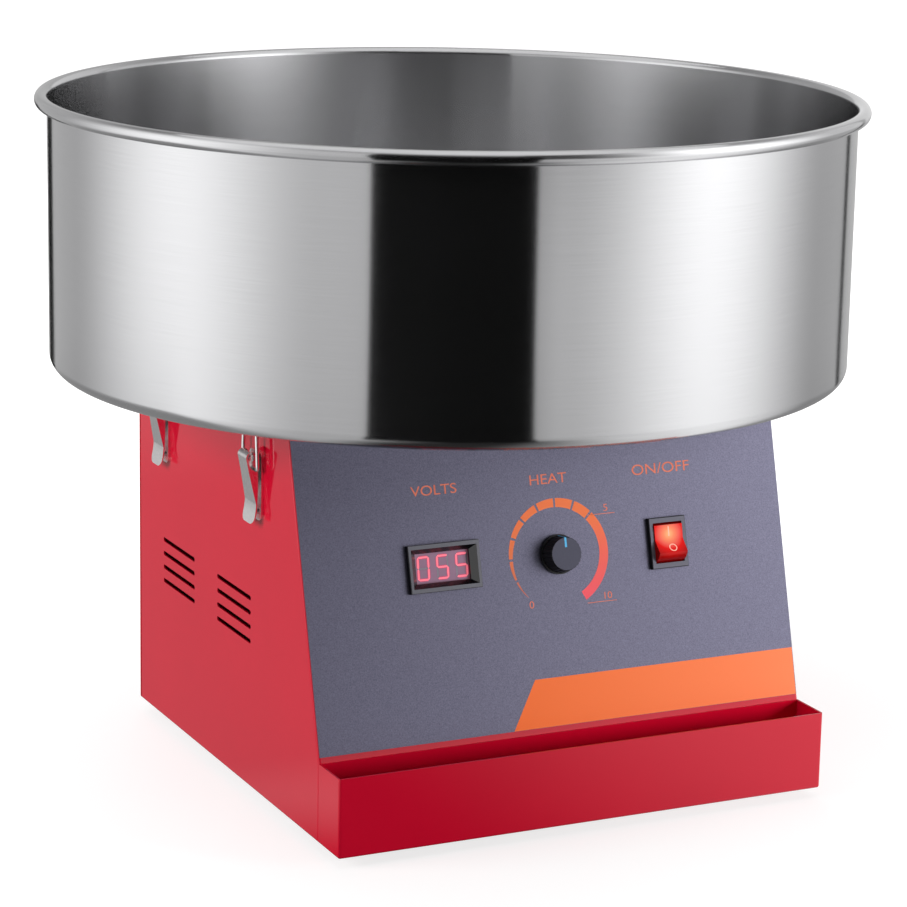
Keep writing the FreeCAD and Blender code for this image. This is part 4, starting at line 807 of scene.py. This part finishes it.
def studio_angle(made, parts):
    """Angle from the camera's side as a share of a turn, with the camera's side at 0.5."""
    back = made.node("ShaderNodeMath", {0: parts.outputs["Y"], 1: -1.0}, operation="MULTIPLY")
    angle = made.node("ShaderNodeMath", {0: parts.outputs["X"], 1: back.outputs["Value"]},
                      operation="ARCTAN2").outputs["Value"]
    share = made.node("ShaderNodeMath", {0: angle, 1: 1 / (2 * math.pi)}, operation="MULTIPLY")
    shift = made.node("ShaderNodeMath", {0: share.outputs["Value"], 1: CAMERA_TURN / (2 * math.pi) + 0.5},
                      operation="ADD")
    return made.node("ShaderNodeMath", {0: shift.outputs["Value"]}, operation="FRACT").outputs["Value"]


def turn_share(degrees):
    """The same share for an angle in degrees."""
    return (degrees + 180) / 360


def ring_light(made, turn):
    """Light of the wall round the machine, as a share of its peak."""
    stops = [(turn_share(degrees), (level / STUDIO_PEAK,) * 3 + (1,)) for degrees, level in STUDIO_LEVELS]
    return made.ramp(turn, stops, "EASE")


def studio_wall():
    """Round wall of soft light that only reflections see."""
    made = Surface("studio_wall")
    parts = made.node("ShaderNodeSeparateXYZ", {"Vector": made.place()})
    turn = studio_angle(made, parts)
    fade = eased(made, parts.outputs["Z"], *WALL_DIMS, STUDIO_PEAK, WALL_TOP_SHARE * STUDIO_PEAK)
    right = eased(made, turn, *map(turn_share, SHAPED_START), *SHAPED_LIGHT)
    left = eased(made, turn, *map(turn_share, SHAPED_END), 1.0, 0.0)
    late = made.node("ShaderNodeMath", {0: right, 1: left}, operation="MAXIMUM").outputs["Value"]
    above = eased(made, parts.outputs["Z"], *SHAPED_FROM)
    shaped = made.node("ShaderNodeMix", {0: above, 2: 1.0, 3: late}).outputs[0]
    strength = made.node("ShaderNodeMath", {0: fade, 1: shaped}, operation="MULTIPLY")
    glow_only(made, ring_light(made, turn), strength.outputs["Value"])
    rows = ((STUDIO_RADIUS, 0.0), (STUDIO_RADIUS, STUDIO_HEIGHT))
    studio_sheet("studio_wall", -180, 180, rows, made.material, STUDIO_STEPS)

    inside = STUDIO_RADIUS - GAP_INSET
    for number, (start, end, near, dark, light) in enumerate(STUDIO_GAPS):
        name = "studio_gap_%d" % number
        gap = Surface(name)
        height = gap.node("ShaderNodeSeparateXYZ", {"Vector": gap.place()}).outputs["Z"]
        glow_only(gap, (1, 1, 1, 1), eased(gap, height, dark, light, GAP_LIGHT, GAP_TOP))
        rows = ((near, GAP_LIFT), (inside, GAP_LIFT), (inside, STUDIO_HEIGHT))
        studio_sheet(name, start, end, rows, gap.material)


def studio_table():
    """The floor as the gloss shows it: lit like the wall, with a shaded pool before the tray."""
    made = Surface("studio_table")
    place = made.place()
    parts = made.node("ShaderNodeSeparateXYZ", {"Vector": place})
    inputs = {0: ring_light(made, studio_angle(made, parts)), 1: STUDIO_PEAK * TABLE_SHARE}
    ring = made.node("ShaderNodeMath", inputs, operation="MULTIPLY").outputs["Value"]
    away = made.node("ShaderNodeVectorMath", {0: place}, operation="LENGTH").outputs["Value"]
    near = made.node("ShaderNodeVectorMath", {0: place, 1: POOL_CENTRE}, operation="DISTANCE")
    inputs = {0: parts.outputs["X"], 1: SHADE_SLANT, 2: parts.outputs["Y"]}
    slanted = made.node("ShaderNodeMath", inputs, operation="MULTIPLY_ADD").outputs["Value"]
    inputs = {0: eased(made, parts.outputs["Y"], *SHADE_BACK), 1: eased(made, slanted, *SHADE_LINE)}
    behind = made.node("ShaderNodeMath", inputs, operation="MULTIPLY").outputs["Value"]
    inputs = {0: behind, 1: eased(made, away, *SHADE_EDGE, 1.0, 0.0)}
    close = made.node("ShaderNodeMath", inputs, operation="MULTIPLY").outputs["Value"]
    shaded = made.node("ShaderNodeMix", {0: close, 2: ring, 3: TABLE_SHADE}).outputs[0]
    pool = eased(made, near.outputs["Value"], *POOL_EDGE, 1.0, 0.0)
    across = eased(made, parts.outputs["X"], *POOL_ACROSS, *POOL_LIGHT)
    strength = made.node("ShaderNodeMix", {0: pool, 2: shaded, 3: across}).outputs[0]
    glow_only(made, (1, 1, 1, 1), strength)
    rows = ((0.0, TABLE_LIFT), (STUDIO_RADIUS, TABLE_LIFT))
    studio_sheet("studio_table", -180, 180, rows, made.material, STUDIO_STEPS)


def make_world():
    """White to the camera and in gloss and glass, soft grey light for the object."""
    soft_light = 0.16
    world = bpy.data.worlds.new("studio")
    world.use_nodes = True
    bpy.context.scene.world = world
    tree = world.node_tree
    shown = tree.nodes.new("ShaderNodeBackground")
    shown.inputs["Color"].default_value = (1, 1, 1, 1)
    shown.inputs["Strength"].default_value = 1.0
    light = tree.nodes["Background"]
    light.inputs["Color"].default_value = (1, 1, 1, 1)
    light.inputs["Strength"].default_value = soft_light
    mixed = tree.nodes.new("ShaderNodeMixShader")
    tree.links.new(seen(tree), mixed.inputs["Fac"])
    tree.links.new(light.outputs["Background"], mixed.inputs[1])
    tree.links.new(shown.outputs["Background"], mixed.inputs[2])
    tree.links.new(mixed.outputs["Shader"], tree.nodes["World Output"].inputs["Surface"])


# Lamps: name, place, what they face, side of the square in metres, power in watts.
LAMPS = (
    ("top_softbox", (0.0, 0.2, 2.6), (0, 0, 0.2), 1.6, 24),
    ("left_softbox", (-2.4, 0.2, 0.9), (0, 0, 0.2), 1.4, 54),
    ("back_softbox", (0.5, 2.4, 0.9), (0, 0, 0.2), 1.4, 30),
    ("key_softbox", (0.8, -0.95, 0.22), (0, -0.1, 0.12), 0.35, 10.5),
)


def softbox(name, place, target, side, power):
    """Square lamp that lights the object but isn't mirrored in it."""
    lamp = bpy.data.lights.new(name, "AREA")
    lamp.shape = "SQUARE"
    lamp.size = side
    lamp.energy = power
    holder = bpy.data.objects.new(name, lamp)
    holder.location = place
    holder.rotation_euler = (Vector(target) - Vector(place)).to_track_quat("-Z", "Y").to_euler()
    holder.visible_glossy = False
    holder.visible_camera = False
    bpy.context.scene.collection.objects.link(holder)


# ---------------------------------------------------------------- build
make_camera()
NODE_SURFACES["voltmeter_window"] = window_surface()
NODE_SURFACES["rocker"] = rocker_surface()
for node_name, node_object in frame["nodes"].items():
    node_object.data.materials.clear()
    node_object.data.materials.append(NODE_SURFACES[node_name])
make_bowl()
make_dial()
make_labels()
make_banner()
make_digits()
make_rocker_marks()
make_floor()
studio_wall()
studio_table()
make_world()
for lamp_values in LAMPS:
    softbox(*lamp_values)
bpy.context.scene.view_settings.view_transform = "Standard"
